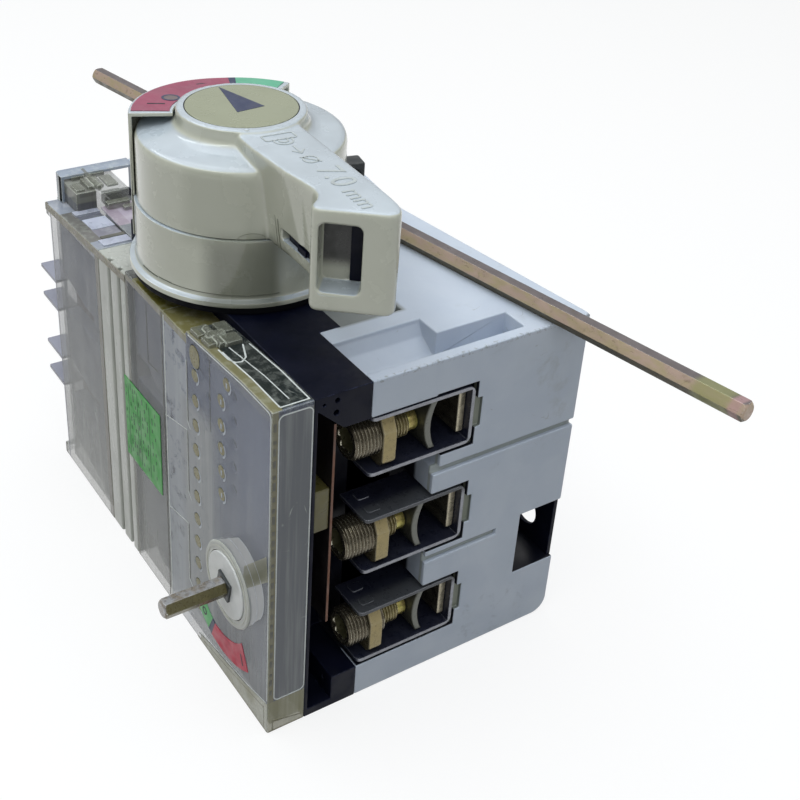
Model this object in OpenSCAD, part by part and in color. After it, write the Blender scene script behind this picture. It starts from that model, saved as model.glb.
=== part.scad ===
// Three-pole fused switch-disconnector lying on its side face.
// Its rotary handle stands on the upper side and its spare extension shaft lies across it.
// Millimetres, +Z up. The origin is the middle of the side face that it rests on.
// X runs along the cable direction, -Y is the operating front and +Y the mounting side.

/* [Switch body] */
// Length from one terminal end to the other
body_l = 275; // [240:1:330]
// Depth from the front of the clear covers to the mounting side
body_d = 183; // [170:1:220]
// Width across the three poles, which stands upright here
body_h = 200; // [190:1:240]
// Depth of the clear front covers
cover_d = 21.5; // [18:0.5:26]
// Depth of the dark arc chamber behind the covers
chamber_d = 31; // [28:0.5:36]

/* [Poles and terminals] */
// Distance between poles
pole_pitch = 61; // [58:0.5:70]
// Height of a clamp frame
clamp_h = 34.5; // [30:0.5:38]
// Length of a clamp frame along the screw
clamp_l = 60.5; // [56:0.5:70]
// Width of a clamp frame along the cable
clamp_w = 25; // [20:1:30]
// Thickness of the clamp frame's strap
clamp_t = 2.2; // [1.5:0.1:3]
// Outer diameter of the threaded bush
bush_d = 22; // [18:0.5:26]
// Length of the threaded bush
bush_l = 22; // [18:1:30]
// Width across flats of the bush's hexagon socket
socket_af = 12; // [8:0.5:14]
// Diameter of the clamping screw inside the bush
screw_d = 13; // [10:0.5:16]
// Thickness of the terminal tongue
tongue_t = 4.5; // [3:0.5:6]
// Depth of a terminal pocket from the end face
pocket_x = 38; // [34:1:50]

/* [Clear covers] */
// Wall thickness of the clear covers
cover_t = 2.6; // [2:0.1:4]
// Length of the cover over the shaft and probe holes
shaft_cover_l = 113; // [105:0.5:130]
// Length of the cover over the fuses
fuse_cover_l = 46; // [38:0.5:52]
// Length of the opaque rib between the covers
rib_l = 36.5; // [30:0.5:46]
// Diameter of a probe hole
probe_d = 7; // [5:0.5:8]
// Distance between probe holes
probe_pitch = 14.9; // [14:0.1:17]
// Number of probe holes in the long column
probe_n = 11; // [4:1:11]
// Distance between probe holes in the short column
probe_short_pitch = 13.9; // [12:0.1:16]
// Number of probe holes in the short column
probe_short_n = 5; // [2:1:8]

/* [Operating shaft] */
// Width across flats of the hexagon shafts
hex_af = 9.6; // [8:0.2:12]
// Distance of the shaft from the near end face
shaft_x = 42.5; // [36:0.5:50]
// Height of the shaft above the resting side
shaft_z = 68; // [64:0.5:76]
// Diameter of the white rotor disc
rotor_d = 37.2; // [32:0.2:42]
// Outer diameter of the clear boss round the rotor
boss_d = 47.2; // [44:0.2:54]
// Length of shaft that stands out of the rotor disc
stub_l = 35; // [25:1:45]

/* [Extension shaft] */
// Length of the loose extension shaft
rod_l = 517; // [400:1:620]
// Direction of the extension shaft from the X axis, degrees
rod_a = 10.7; // [6:0.1:14]
// Place of its middle along X
rod_x = -10; // [-30:1:20]
// Place of its middle along Y
rod_y = 42.9; // [38:0.1:56]

/* [Handle] */
// Place of the handle's axis along X
axis_x = 7.9; // [0:0.1:15]
// Place of the handle's axis along Y
axis_y = -38.2; // [-42:0.1:-30]
// Diameter of the fixed ring
ring_d = 108.2; // [98:0.2:114]
// Height of the fixed ring
ring_h = 35; // [28:0.5:42]
// Thickness of the rubber gasket under the ring
gasket_t = 4; // [2:0.5:6]
// Gap between the ring and the knob
knob_gap = 0.6; // [0.4:0.1:1.5]
// Height of the knob's side wall
knob_wall_h = 35; // [28:0.5:40]
// Height of the knob's sloping shoulder
shoulder_h = 4; // [2:0.5:8]
// Height of the collar above the shoulder
collar_h = 7.6; // [5:0.1:9]
// Diameter of the collar
collar_d = 64; // [58:0.5:68]
// Diameter of the cap disc
cap_d = 56.2; // [48:0.2:57]
// Direction of the lever at rest, degrees
lever_a = -3; // [-12:0.5:12]
// Reach of the lever from the axis
lever_reach = 131; // [115:1:145]
// Width of the lever
lever_w = 26.8; // [22:0.2:30]
// Sideways shift of the lever from the axis
lever_shift = 5.1; // [0:0.1:7]
// Diameter of the hub that turns in the ring
hub_d = 30; // [24:0.5:36]

/* [Hidden] */
// Segments of a true round
$fn = 96;
// Overlap that a cutting tool runs past a face
eps = 1;

// Faces and layers of the body
x_end = body_l / 2;
y_front = -body_d / 2;
y_back = body_d / 2;
y_chamber = y_front + cover_d;
y_base = y_chamber + chamber_d;
pole_z = [for (k = [-1:1]) body_h / 2 + 0.5 + k * pole_pitch];

// Clamp frames: open towards the front, closed by a bend at the back
clamp_y = y_base + 0.5;
clamp_y_end = clamp_y + clamp_l;
clamp_in = clamp_h - 2 * clamp_t;
clamp_x = x_end - clamp_w;
clamp_mid = x_end - clamp_w / 2;
open_y = y_base + 39;
nut_t = 8;
nut_y = clamp_y + 7.3;
nut_gap = 0.1;
bush_y = nut_y + nut_t - bush_l;
screw_l = 17;
screw_tip_l = 6;
screw_tip_y = nut_y + nut_t + screw_l;
// How far each pole's screw is turned in, lowest pole first
turned_in = [2.6, -2.6, 0];
plate_t = 4;
plate_rise = 3.4;
pocket_gap = 1.5;
groove_t = 3;
groove_w = 4;

// Pocket and slot in the upper side at both ends, and the recess between them
pocket_w = 36.5;
pocket_floor = [[0, 2], [3.7, 8], [12.4, 13.3], [30, 14]];
rim_t = 6.5;
slot_w = 21.5;
slot_y = 50;
slot_l = 42.5;
slot_d = 15;
recess_x = 48.5;
recess_w = 47;
recess_d = 5;
lip_w = 12;

// End blocks of the arc chamber, behind the open space at each end
wall_t = 2;
lid_t = 1.5;
floor_t = 5;
block_w = 15;
end_block_h = 20.5;

// Mounting notches at the back edge of both ends
notch_l = 56;
notch_d = 28.5;
notch_z = [40, 81];
lug_t = 2.5;
mount_x = x_end - 35;
mount_z = 60;
mount_d = 11;
sheet_y = y_chamber + 13.5;
sheet_t = 1.5;
sheet_gap = 4.5;
seat_gap = 0.75;
cavity_z = [end_block_h, pole_z[2] + clamp_h / 2 + seat_gap];

// Walls between the poles: set back at the end face and curving forward further in
wall_front = [[0, 0], [3, -1.2], [7, -4.6], [11, -7.8], [16, -9]];
step_back = 3.8;
step_in = 16;
clip_h = 17.5;
clip_w = 3.4;
clip_d = 2.5;

// Rounded lower back edge, and the upper back edge cut back towards the middle
round_r = 9.5;
edge_x = -7;
edge_back = 19;
edge_rise = 3.5;
edge_a = 50;

// Covers, each with its own length and height
x_shaft = x_end - shaft_cover_l;
x_fuse = x_shaft - fuse_cover_l;
x_rib = x_fuse - rib_l;
fuse_h = body_h - 7.3;
rib_h = body_h - 9.7;
end_h = body_h - 17.5;
step_x = x_end - 86;
step_rise = 2.8;
rise_x = x_end - 27.5;
panel_gap = 1;
panel_t = 1.6;
label_t = 0.4;
plate_y = y_front + cover_t + panel_gap;
probe_x = x_end - 77.2;
probe_short_x = x_end - 49.5;
probe_top = body_h - 25.4;
probe_wide = 11;

// Far side of the end cover, set back between its lips, and the shroud beyond it
set_back = 6;
lip_t = 8;
far_x = -x_end + 75.5;
far_h = cavity_z[1] + 2;
shroud_l = 1.5;
shroud_w = 10;
shroud_t = 2;
shroud_y = y_chamber - 14;
guard_l = 50;
guard_h = 7;
hinge_l = 32.5;
hinge_h = 15.5;
barrier_l = 19.5;
barrier_w = 6;
barrier_t = 1.6;
barrier_gap = 10;
barrier_z = [62.5, 122];

// Operating shaft
hub_x = x_end - shaft_x;
rotor_t = 8;
rotor_face = y_front - 1.9;
bore_gap = 0.5;
boss_out = 0.9;
boss_in = 8;

// Handle levels
ring_z = body_h + gasket_t;
ring_top = ring_z + ring_h;
flange_h = 3;
flange_d = ring_d + 6.8;
knob_z = ring_top + knob_gap;
knob_r = ring_d / 2 - 1.5;
shoulder_z = knob_z + knob_wall_h;
collar_z = shoulder_z + shoulder_h;
knob_top = collar_z + collar_h;
cap_t = 2.4;
cap_z = knob_top - 0.6;
lever_z = ring_top - 5.5;
arm_z = ring_top - 1.5;
lever_top = knob_top - 2;
window_w = 20.5;
window_d = 14;
window_z = [9.7, 43.5];
slot_x = [lever_reach - 66.5, lever_reach - 39.5];
slot_z = [11.5, 17.5];
slot_play = 0.3;
bracket_gap = 0.7;
bracket_t = 1.7;
bracket_r = knob_r + bracket_gap;
skirt_h = 22;
skirt_gap = 0.05;
sector_t = 2;
sector_z = collar_z - 0.3;
sector_r = collar_d / 2 + 1.5;
sector_from = 125;
sector_to = 247;
divider_from = 156;
divider_to = 160;

// Colours
white = [0.80, 0.82, 0.86];
cream = [0.78, 0.78, 0.72];
navy = [0.07, 0.08, 0.14];
clear = [0.85, 0.87, 0.85, 0.35];
grey = [0.50, 0.53, 0.60];
zinc = [0.62, 0.60, 0.50];

module block(low, high) {
    translate(low) cube(high - low);
}

// A ring sector lying flat, from one angle to another
module sector(r_in, r_out, from, to, h) {
    steps = ceil((to - from) / 4);
    arc = [for (i = [0:steps]) from + (to - from) * i / steps];
    linear_extrude(h) polygon(concat(
        [for (a = arc) r_out * [cos(a), sin(a)]],
        [for (i = [steps:-1:0]) r_in * [cos(arc[i]), sin(arc[i])]]));
}

// A hexagon bar along Z with chamfered ends
module hex_bar(af, l, chamfer) {
    r = af / sqrt(3);
    intersection() {
        cylinder(r = r, h = l, $fn = 6);
        union() {
            cylinder(r1 = r - chamfer, r2 = r, h = chamfer);
            translate([0, 0, chamfer]) cylinder(r = r, h = l - 2 * chamfer);
            translate([0, 0, l - chamfer]) cylinder(r1 = r, r2 = r - chamfer, h = chamfer);
        }
    }
}

// Repeats a terminal piece at both ends of each pole, shifted with the screw where it is screwed in
module at_terminals(shift = [0, 0, 0]) {
    for (k = [0:2], side = [0, 1])
        mirror([side, 0, 0]) translate([0, shift[k], pole_z[k]]) children();
}

module at_both_ends() {
    for (side = [0, 1]) mirror([side, 0, 0]) children();
}

module at_handle() {
    translate([axis_x, axis_y, 0]) children();
}

module base_housing() {
    at_pole = clamp_h / 2 + pocket_gap;
    y_pocket = clamp_y_end + pocket_gap;
    color(white) difference() {
        block([-x_end, y_base, 0], [x_end, y_back, body_h]);
        at_both_ends() {
            open_bay();
            for (z = pole_z) {
                block([x_end - pocket_x, y_base - eps, z - at_pole],
                    [x_end + eps, open_y, min(z + at_pole, cavity_z[1])]);
                block([x_end - pocket_x, open_y - eps, z - at_pole],
                    [x_end + eps, y_pocket, z + at_pole]);
                block([x_end - clip_d, y_pocket - eps, z - clip_h / 2],
                    [x_end + eps, y_pocket + clip_w, z + clip_h / 2]);
            }
            block([x_end - step_in, open_y - 10, pole_z[2] - at_pole - 7.6],
                [x_end + eps, open_y + step_back, pole_z[2] - at_pole + eps]);
            end_groove(pole_z[2] - at_pole - 11.5, y_back + eps);
            end_groove(pole_z[1] - at_pole - 7.5, y_back - 45);
            block([x_end - notch_l, y_back - notch_d, notch_z[0]],
                [x_end + eps, y_back + eps, notch_z[1]]);
            top_pockets();
        }
        back_edge_cut();
        block([-x_end + recess_x, y_base - eps, body_h - recess_d],
            [x_end - recess_x, y_base + recess_w, body_h + eps]);
        difference() {
            block([-x_end - eps, y_back - round_r, -eps], [x_end + eps, y_back + eps, round_r]);
            translate([-x_end - 2 * eps, y_back - round_r, round_r])
                rotate([0, 90, 0]) cylinder(r = round_r, h = body_l + 4 * eps);
        }
    }
}

// Open bay in front of the walls between the poles, which curve forward further in
module open_bay() {
    translate([x_end, open_y, cavity_z[0]]) linear_extrude(cavity_z[1] - cavity_z[0]) polygon(concat(
        [[eps, y_base - eps - open_y], [eps, 0]], [for (p = wall_front) [-p[0], p[1]]],
        [[-pocket_x, wall_front[4][1]], [-pocket_x, y_base - eps - open_y]]));
}

// Steep cut of the upper back edge, deepest near mid-length
module back_edge_cut() {
    for (half = [[0, x_end - edge_x, edge_back], [1, x_end + edge_x, edge_back - edge_rise]])
        translate([edge_x, y_back - edge_back, body_h]) mirror([half[0], 0, 0]) intersection() {
            rotate([0, 0, atan(half[2] / half[1])]) rotate([-edge_a, 0, 0])
                translate([-20, -10, 0]) cube([half[1] + 40, 60, 40]);
            block([0, -30, -60], [half[1] + 10, 60, 60]);
        }
}

// Groove across the end face, below a terminal pocket
module end_groove(z, y_end) {
    block([x_end - groove_t, open_y - eps, z], [x_end + eps, y_end, z + groove_w]);
}

// Pocket with a sloping floor and a deep slot in the upper side, over the top pole
module top_pockets() {
    x0 = x_end - pocket_w;
    translate([0, y_base + slot_y, 0]) rotate([90, 0, 0]) linear_extrude(slot_y + eps)
        polygon(concat([for (p = pocket_floor) [x0 + p[0], body_h - p[1]]],
            [[x_end - rim_t, body_h + eps], [x0, body_h + eps]]));
    block([x_end - slot_w, y_base + slot_y - eps, body_h - slot_d],
        [x_end - rim_t, y_base + slot_y + slot_l, body_h + eps]);
}

// Dark plates across the notches, each with its mounting hole
module mounting_plates() {
    color(navy) at_both_ends() difference() {
        block([x_end - notch_l, y_back - lug_t, notch_z[0]], [x_end - 2, y_back, notch_z[1]]);
        translate([mount_x, y_back + eps, mount_z])
            rotate([90, 0, 0]) cylinder(d = mount_d, h = lug_t + 2 * eps);
    }
}

// Dark chamber with an open space at each end, and the lip that it sends over the recess
module arc_chamber() {
    block_y = y_base - block_w;
    color(navy) difference() {
        union() {
            block([-x_end, y_chamber, 0], [x_end, y_base, body_h]);
            block([-x_end + recess_x, y_base - eps, body_h - recess_d],
                [x_end - recess_x, y_base + lip_w, body_h]);
        }
        block([-x_end - eps, y_chamber - eps, far_h], [far_x, y_base, body_h + eps]);
        at_both_ends() {
            // Open space under the gusset that slopes from the upper end block to the covers
            translate([x_end - pocket_x, 0, 0]) rotate([90, 0, 90]) linear_extrude(pocket_x + eps)
                polygon([[y_chamber + wall_t, floor_t], [block_y, floor_t], [block_y, cavity_z[1]],
                    [y_chamber + wall_t, cavity_z[1] + block_w - wall_t]]);
            block([x_end - pocket_x, block_y - eps, cavity_z[0]],
                [x_end + eps, y_base + eps, cavity_z[1]]);
            // Blind hole in the lower end block, seen from the open space
            translate([x_end - 7.7, block_y - eps, 13.3])
                rotate([-90, 0, 0]) cylinder(r = 1.6, h = 6 + eps, $fn = 24);
        }
        // Blind holes in the near end face of the gusset
        for (spot = [[y_base - 19.1, 4, 1.3], [y_base - 26, 4.5, 0.8], [y_base - 19.4, 10.6, 1.5]])
            translate([x_end - 5, spot[0], body_h - spot[1]])
                rotate([0, 90, 0]) cylinder(r = spot[2], h = 5 + eps, $fn = 24);
    }
}

module insulating_sheet() {
    color("saddlebrown") at_both_ends()
        block([x_end - pocket_x, sheet_y, pole_z[0] + clamp_h / 2],
            [x_end - sheet_gap, sheet_y + sheet_t, cavity_z[1]]);
}

module interlock_slide() {
    color([0.55, 0.48, 0.15]) at_both_ends()
        block([x_end - pocket_x, y_chamber + 5, pole_z[1] + 16.5],
            [x_end - sheet_gap - 1, sheet_y, pole_z[1] + 41.5]);
}

// A clear cover, open at the back, from its outlines seen from the front
module clear_shell(outer, inner) {
    color(clear) difference() {
        translate([0, y_chamber, 0]) rotate([90, 0, 0]) linear_extrude(cover_d) polygon(outer);
        translate([0, y_chamber + eps, 0])
            rotate([90, 0, 0]) linear_extrude(cover_d + eps - cover_t) polygon(inner);
        children();
    }
}

module probe_hole(x, y, z, d, depth) {
    translate([x, y, z]) rotate([-90, 0, 0]) cylinder(d = d, h = depth);
}

// Two columns of probe holes, with a wide one above the long column; less makes them narrower
module probe_holes(y, depth, less) {
    for (k = [0:probe_n - 1])
        probe_hole(probe_x, y, probe_top - k * probe_pitch, probe_d - less, depth);
    hull() for (z = [13.5, 15.5]) probe_hole(probe_x, y, body_h - z, probe_wide - less, depth);
    probe_hole(probe_short_x + 5.9, y, body_h - 10.8, probe_d - less, depth);
    for (k = [0:probe_short_n - 1])
        probe_hole(probe_short_x, y, probe_top + 2 - k * probe_short_pitch, probe_d - less, depth);
}

// Outline of the shaft cover, a wall of thickness t inside its faces
function shaft_outline(t) = [[x_shaft + t, t], [x_end - t, t], [x_end - t, body_h - t],
    [rise_x, body_h - t], [step_x + t, fuse_h + step_rise - t], [step_x + t - 1.5, fuse_h - t],
    [x_shaft + t, fuse_h - t]];

function fuse_outline(t) = [[x_fuse + t, t], [x_shaft - t, t], [x_shaft - t, fuse_h - t],
    [x_fuse + t, fuse_h - t]];

// Upper edge of the rib and of the end cover, which falls towards the far end
function far_top(x) = end_h + (rib_h - end_h) * (x + x_end) / (x_fuse + x_end);

module shaft_cover() {
    bore = rotor_d + 2 * bore_gap;
    clear_shell(shaft_outline(0), shaft_outline(cover_t)) {
        probe_holes(y_front - eps, cover_t + 2 * eps, 0);
        probe_hole(hub_x, y_front - eps, shaft_z, bore, cover_t + 2 * eps);
    }
    color(clear) translate([hub_x, y_front + boss_in, shaft_z]) rotate([90, 0, 0]) difference() {
        cylinder(d = boss_d, h = boss_in + boss_out);
        translate([0, 0, -eps]) cylinder(d = bore, h = boss_in + boss_out + 2 * eps);
    }
}

module shaft_plate() {
    color(grey) difference() {
        translate([0, plate_y + panel_t, 0]) rotate([90, 0, 0])
            linear_extrude(panel_t) polygon(shaft_outline(cover_t));
        probe_holes(plate_y - eps, panel_t + 2 * eps, 1);
        probe_hole(hub_x, plate_y - eps, shaft_z, boss_d + 2 * bore_gap, panel_t + 2 * eps);
    }
}

module fuse_cover() {
    clear_shell(fuse_outline(0), fuse_outline(cover_t));
}

// Carrier face behind the fuse cover, one stepped panel for each pole
module fuse_carriers() {
    color(grey) for (z = pole_z)
        translate([x_fuse + cover_t, plate_y, z - pole_pitch / 2 + 3])
            rotate([90, 0, 0]) mirror([0, 0, 1]) linear_extrude(y_chamber - plate_y)
                polygon([[0, 8], [0, 54], [fuse_cover_l - 2 * cover_t, 54],
                    [fuse_cover_l - 2 * cover_t, 0], [24, 0], [14, 8]]);
}

module centre_rib() {
    groove = 2.5;
    color(cream) difference() {
        translate([0, y_chamber, 0]) rotate([90, 0, 0]) linear_extrude(cover_d)
            polygon([[x_rib, 0], [x_fuse, 0], [x_fuse, rib_h], [x_rib, far_top(x_rib)]]);
        for (x = [0.36, 0.72]) block([x_rib + rib_l * x, y_front - eps, -eps],
            [x_rib + rib_l * x + 3, y_front + groove, fuse_h + eps]);
    }
}

// The end cover's far side is set back between a lip at the top and one at the bottom
module end_cover() {
    x0 = -x_end + set_back;
    lip_z = far_top(-x_end) - lip_t;
    clear_shell([[-x_end, 0], [x_rib, 0], [x_rib, far_top(x_rib)], [-x_end, far_top(-x_end)],
            [-x_end, lip_z], [x0, lip_z], [x0, lip_t], [-x_end, lip_t]],
        [[x0 + cover_t, cover_t], [x_rib - cover_t, cover_t], [x_rib - cover_t, far_top(x_rib) - cover_t],
            [x0 + cover_t, far_top(x0) - cover_t]]);
}

// Blue-grey fuse doors behind the end cover, each with a stepped lower edge
module fuse_doors() {
    x0 = -x_end + set_back + cover_t;
    w = x_rib - cover_t - x0;
    color(grey) for (z = pole_z)
        translate([x0, plate_y, z - pole_pitch / 2 - 5])
            rotate([90, 0, 0]) mirror([0, 0, 1]) linear_extrude(y_chamber - plate_y)
                polygon([[4, 14], [4, 50], [w - 8, 50], [w - 8, 0], [w - 20, 0], [w - 20, 6], [w - 32, 6]]);
}

// Clear strip round the front upper corner of the far end, over the lowered end of the chamber
module terminal_shroud() {
    x0 = -x_end - shroud_l;
    color(clear) {
        block([x0, shroud_y, body_h - shroud_t], [x0 + shroud_w, y_base, body_h]);
        block([x0, shroud_y, 0], [-x_end, shroud_y + shroud_t, body_h - shroud_t]);
        block([x0, shroud_y, end_h + eps], [x0 + shroud_w, shroud_y + shroud_t, body_h - shroud_t]);
    }
}

// Clear guard that lies on the lowered end of the chamber, with its raised hinge block
module terminal_guard() {
    color(clear) {
        block([far_x - guard_l, y_chamber, far_h], [far_x, y_base - 3, far_h + guard_h]);
        block([-x_end, y_chamber, far_h], [-x_end + hinge_l, y_base - 13, far_h + hinge_h]);
    }
}

// Thin clear tabs that stand out between the poles at the far end
module phase_barriers() {
    color(clear) for (z = barrier_z, s = [-1, 1])
        translate([-x_end - barrier_l, y_front + 1.5, z + s * barrier_gap - barrier_t / 2])
            cube([barrier_l + set_back, barrier_w, barrier_t]);
}

module rating_label() {
    color("limegreen") block([x_fuse - 7, y_front - label_t, 71], [x_shaft - 7, y_front, 124]);
}

// A flat curved piece on the front of the shaft cover, which narrows inwards by two amounts
module indicator(r_in, r_out, from, to, narrow = [0, 0]) {
    n = ceil((to - from) / 4);
    function spot(r, i, less) = (r - less * i / n)
        * [cos(from + (to - from) * i / n), sin(from + (to - from) * i / n)];
    translate([hub_x, y_front, shaft_z]) rotate([90, 0, 0]) linear_extrude(label_t)
        polygon(concat([for (i = [0:n]) spot(r_out, i, narrow[1])],
            [for (i = [n:-1:0]) spot(r_in, i, narrow[0])]));
}

module indicator_green() {
    color("mediumseagreen") indicator(42.5, 54, 226, 245);
}

module indicator_divider() {
    color(navy) indicator(42.5, 54, 245, 249);
}

module indicator_red() {
    color([0.75, 0.25, 0.33]) indicator(42.7, 54, 249, 297, [10.7, 6]);
}

module terminal_frames() {
    r = 4.5;
    color("silver") at_terminals() difference() {
        rotate([90, 0, 90]) translate([0, 0, clamp_x]) linear_extrude(clamp_w)
            polygon(concat(
                [[clamp_y, -clamp_h / 2]],
                [for (a = [-90:15:0]) [clamp_y_end - r, r - clamp_h / 2] + r * [cos(a), sin(a)]],
                [for (a = [0:15:90]) [clamp_y_end - r, clamp_h / 2 - r] + r * [cos(a), sin(a)]],
                [[clamp_y, clamp_h / 2]]));
        block([clamp_x - eps, clamp_y - eps, -clamp_in / 2],
            [x_end + eps, clamp_y_end - clamp_t, clamp_in / 2]);
    }
}

module terminal_bushes() {
    color(zinc) at_terminals(turned_in) translate([clamp_mid, bush_y, 0]) rotate([-90, 0, 0])
        difference() {
            cylinder(d = bush_d, h = bush_l);
            translate([0, 0, -eps])
                cylinder(r = socket_af / sqrt(3), h = bush_l / 2 + eps, $fn = 6);
        }
}

module terminal_nuts() {
    color(zinc) at_terminals() translate([clamp_mid, nut_y, 0]) rotate([-90, 0, 0])
        difference() {
            intersection() {
                cylinder(r = clamp_in / sqrt(3), h = nut_t, $fn = 6);
                translate([-clamp_w / 2, -clamp_in / 2, 0]) cube([clamp_w, clamp_in, nut_t]);
            }
            translate([0, 0, -eps]) cylinder(d = bush_d + nut_gap, h = nut_t + 2 * eps);
        }
}

module clamp_screws() {
    color(zinc) at_terminals(turned_in) translate([clamp_mid, nut_y + nut_t, 0]) rotate([-90, 0, 0]) {
        cylinder(d = screw_d, h = screw_l - screw_tip_l);
        translate([0, 0, screw_l - screw_tip_l]) cylinder(d = screw_d - 3, h = screw_tip_l);
    }
}

// Bowed plate that presses the cable against the tongue
module pressure_plates() {
    half = clamp_in / 2 - 1;
    bow = [for (i = [-6:6]) [plate_rise * pow(i / 6, 2), half * i / 6]];
    color("dimgray") at_terminals(turned_in) translate([clamp_x + 2, screw_tip_y, 0]) rotate([90, 0, 90])
        linear_extrude(clamp_w - 4)
            polygon(concat(bow, [for (i = [12:-1:0]) bow[i] + [plate_t, 0]]));
}

module terminal_tongues() {
    y1 = clamp_y_end - clamp_t;
    color("rosybrown") at_terminals()
        block([x_end - pocket_x, y1 - tongue_t, -clamp_in / 2 + 3], [x_end - 4.5, y1, clamp_in / 2 - 2]);
}

module rotor_disc() {
    color("white") translate([hub_x, rotor_face, shaft_z]) rotate([-90, 0, 0]) difference() {
        union() {
            cylinder(d = rotor_d, h = rotor_t);
            cylinder(d = rotor_d - 14, h = y_chamber - rotor_face);
        }
        translate([0, 0, -eps]) cylinder(r = hex_af / sqrt(3), h = 15 + eps, $fn = 6);
    }
}

module stub_shaft() {
    color(zinc) translate([hub_x, rotor_face - stub_l, shaft_z])
        rotate([-90, 0, 0]) hex_bar(hex_af, stub_l + 15, 1.5);
}

module extension_shaft() {
    color(zinc) translate([rod_x, rod_y, body_h + hex_af / 2]) rotate([0, 0, rod_a])
        translate([-rod_l / 2, 0, 0]) rotate([0, 90, 0]) rotate(30) hex_bar(hex_af, rod_l, 1.5);
}

module handle_gasket() {
    color([0.05, 0.05, 0.06]) at_handle() translate([0, 0, body_h]) difference() {
        cylinder(d = flange_d - 3, h = gasket_t);
        translate([0, 0, -eps]) cylinder(d = hub_d + 4, h = gasket_t + 2 * eps);
    }
}

module handle_ring() {
    color(cream) at_handle() translate([0, 0, ring_z]) difference() {
        union() {
            cylinder(d = flange_d, h = flange_h);
            cylinder(d = ring_d, h = ring_h);
        }
        translate([0, 0, -eps]) cylinder(d = hub_d + 2 * bore_gap, h = ring_h + 2 * eps);
    }
}

module position_bracket() {
    r_out = bracket_r + bracket_t;
    top = sector_z + sector_t;
    skirt_r = ring_d / 2 + skirt_gap;
    color(cream) at_handle() rotate([0, 0, sector_from]) rotate_extrude(angle = sector_to - sector_from)
        polygon([[skirt_r, ring_top - skirt_h], [r_out, ring_top - skirt_h], [r_out, top],
            [sector_r, top], [sector_r, sector_z], [bracket_r, sector_z], [bracket_r, ring_top],
            [skirt_r, ring_top]]);
}

module position_label(from, to) {
    at_handle() translate([0, 0, sector_z + sector_t])
        sector(sector_r + 1.5, bracket_r + bracket_t - 1.3, from, to, label_t);
}

module plate_red() {
    color([0.75, 0.3, 0.4]) position_label(divider_to, sector_to - 3);
}

module plate_green() {
    color("mediumseagreen") position_label(sector_from + 3, divider_from);
}

module plate_divider() {
    color(navy) position_label(divider_from, divider_to);
}

// Dark padlock hasp on the ring, behind the lever
module padlock_hasp() {
    color([0.2, 0.22, 0.24]) at_handle() rotate([0, 0, 78]) difference() {
        translate([ring_d / 2 - 3, -7, ring_z + 18]) cube([13, 14, 30]);
        difference() {
            block([ring_d / 2 - 4, 2, ring_z + 43], [ring_d / 2 + 11, 8, ring_z + 49]);
            translate([ring_d / 2 - 5, 2, ring_z + 43]) rotate([0, 90, 0]) cylinder(r = 5, h = 20);
        }
        translate([0, 0, ring_z]) cylinder(d = ring_d + 0.1, h = ring_h);
        translate([0, 0, ring_top]) cylinder(r = knob_r + 1.5, h = 60);
        translate([ring_d / 2 + 4.5, -7 - eps, ring_z + 41])
            rotate([-90, 0, 0]) cylinder(d = 6.8, h = 14 + 2 * eps);
    }
}

// Outline of the lever seen from above, with its slanting end
module lever_outline() {
    right = lever_shift - lever_w / 2;
    left = lever_shift + lever_w / 2;
    polygon([[10, right - 4.2], [lever_reach - 79, right - 4], [lever_reach - 60, right - 2.8],
        [lever_reach - 42, right - 1], [lever_reach - 34, right - 0.8], [lever_reach - 29, right - 3.4],
        [lever_reach - 25, right - 8.2], [lever_reach - 21.5, right - 10],
        [lever_reach - 18.5, right - 8.9], [lever_reach - 0.2, left - 10.2],
        [lever_reach, left - 7.4], [lever_reach - 1.6, left - 4], [lever_reach - 5.6, left - 1.3],
        [lever_reach - 20, left], [10, left]]);
}

module handle_knob() {
    ring_clear = ring_d / 2 + 5;
    color(cream) at_handle() difference() {
        union() {
            rotate_extrude() polygon([[0, knob_z], [knob_r, knob_z], [knob_r, shoulder_z - 3],
                [knob_r - 0.8, shoulder_z - 0.9], [knob_r - 2.8, shoulder_z],
                [collar_d / 2 + 6, collar_z - 2.6], [collar_d / 2 + 2, collar_z - 1],
                [collar_d / 2, collar_z], [collar_d / 2, knob_top], [0, knob_top]]);
            translate([0, 0, ring_z + 2]) cylinder(d = hub_d, h = knob_z - ring_z - 2 + eps);
            rotate([0, 0, lever_a]) translate([0, 0, knob_z])
                linear_extrude(lever_top - knob_z) lever_outline();
            for (under = [[arm_z, ring_clear], [lever_z, lever_reach - 37]])
                rotate([0, 0, lever_a]) translate([0, 0, under[0]])
                    linear_extrude(knob_z - under[0] + eps) intersection() {
                        lever_outline();
                        translate([under[1], -60]) square([120, 120]);
                    }
        }
        translate([0, 0, cap_z]) cylinder(d = cap_d + 0.8, h = 10);
        rotate([0, 0, lever_a]) lever_window();
    }
}

// Places a piece in the blind window of the grip's slanting end
module in_window() {
    translate([lever_reach - 19, lever_shift - lever_w / 2 - 8.2, lever_z]) rotate([0, 0, 52]) children();
}

// Window in the grip's slanting end, and the padlock slot in its side
module lever_window() {
    in_window() block([0.6, -4, window_z[0]], [window_w, window_d, window_z[1]]);
    block([slot_x[0], lever_shift - lever_w / 2 - 6, lever_z + slot_z[0]],
        [slot_x[1], lever_shift - lever_w / 2 + 8, lever_z + slot_z[1]]);
}

module cap_disc() {
    color([0.58, 0.59, 0.50]) at_handle() translate([0, 0, cap_z]) cylinder(d = cap_d, h = cap_t);
}

module cap_pointer() {
    color([0.25, 0.29, 0.42]) at_handle() rotate([0, 0, lever_a + 184])
        translate([0, 0, cap_z + cap_t]) linear_extrude(label_t)
            polygon([[21.5, 0], [-11.5, 7.6], [-11.5, -7.6]]);
}

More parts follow.
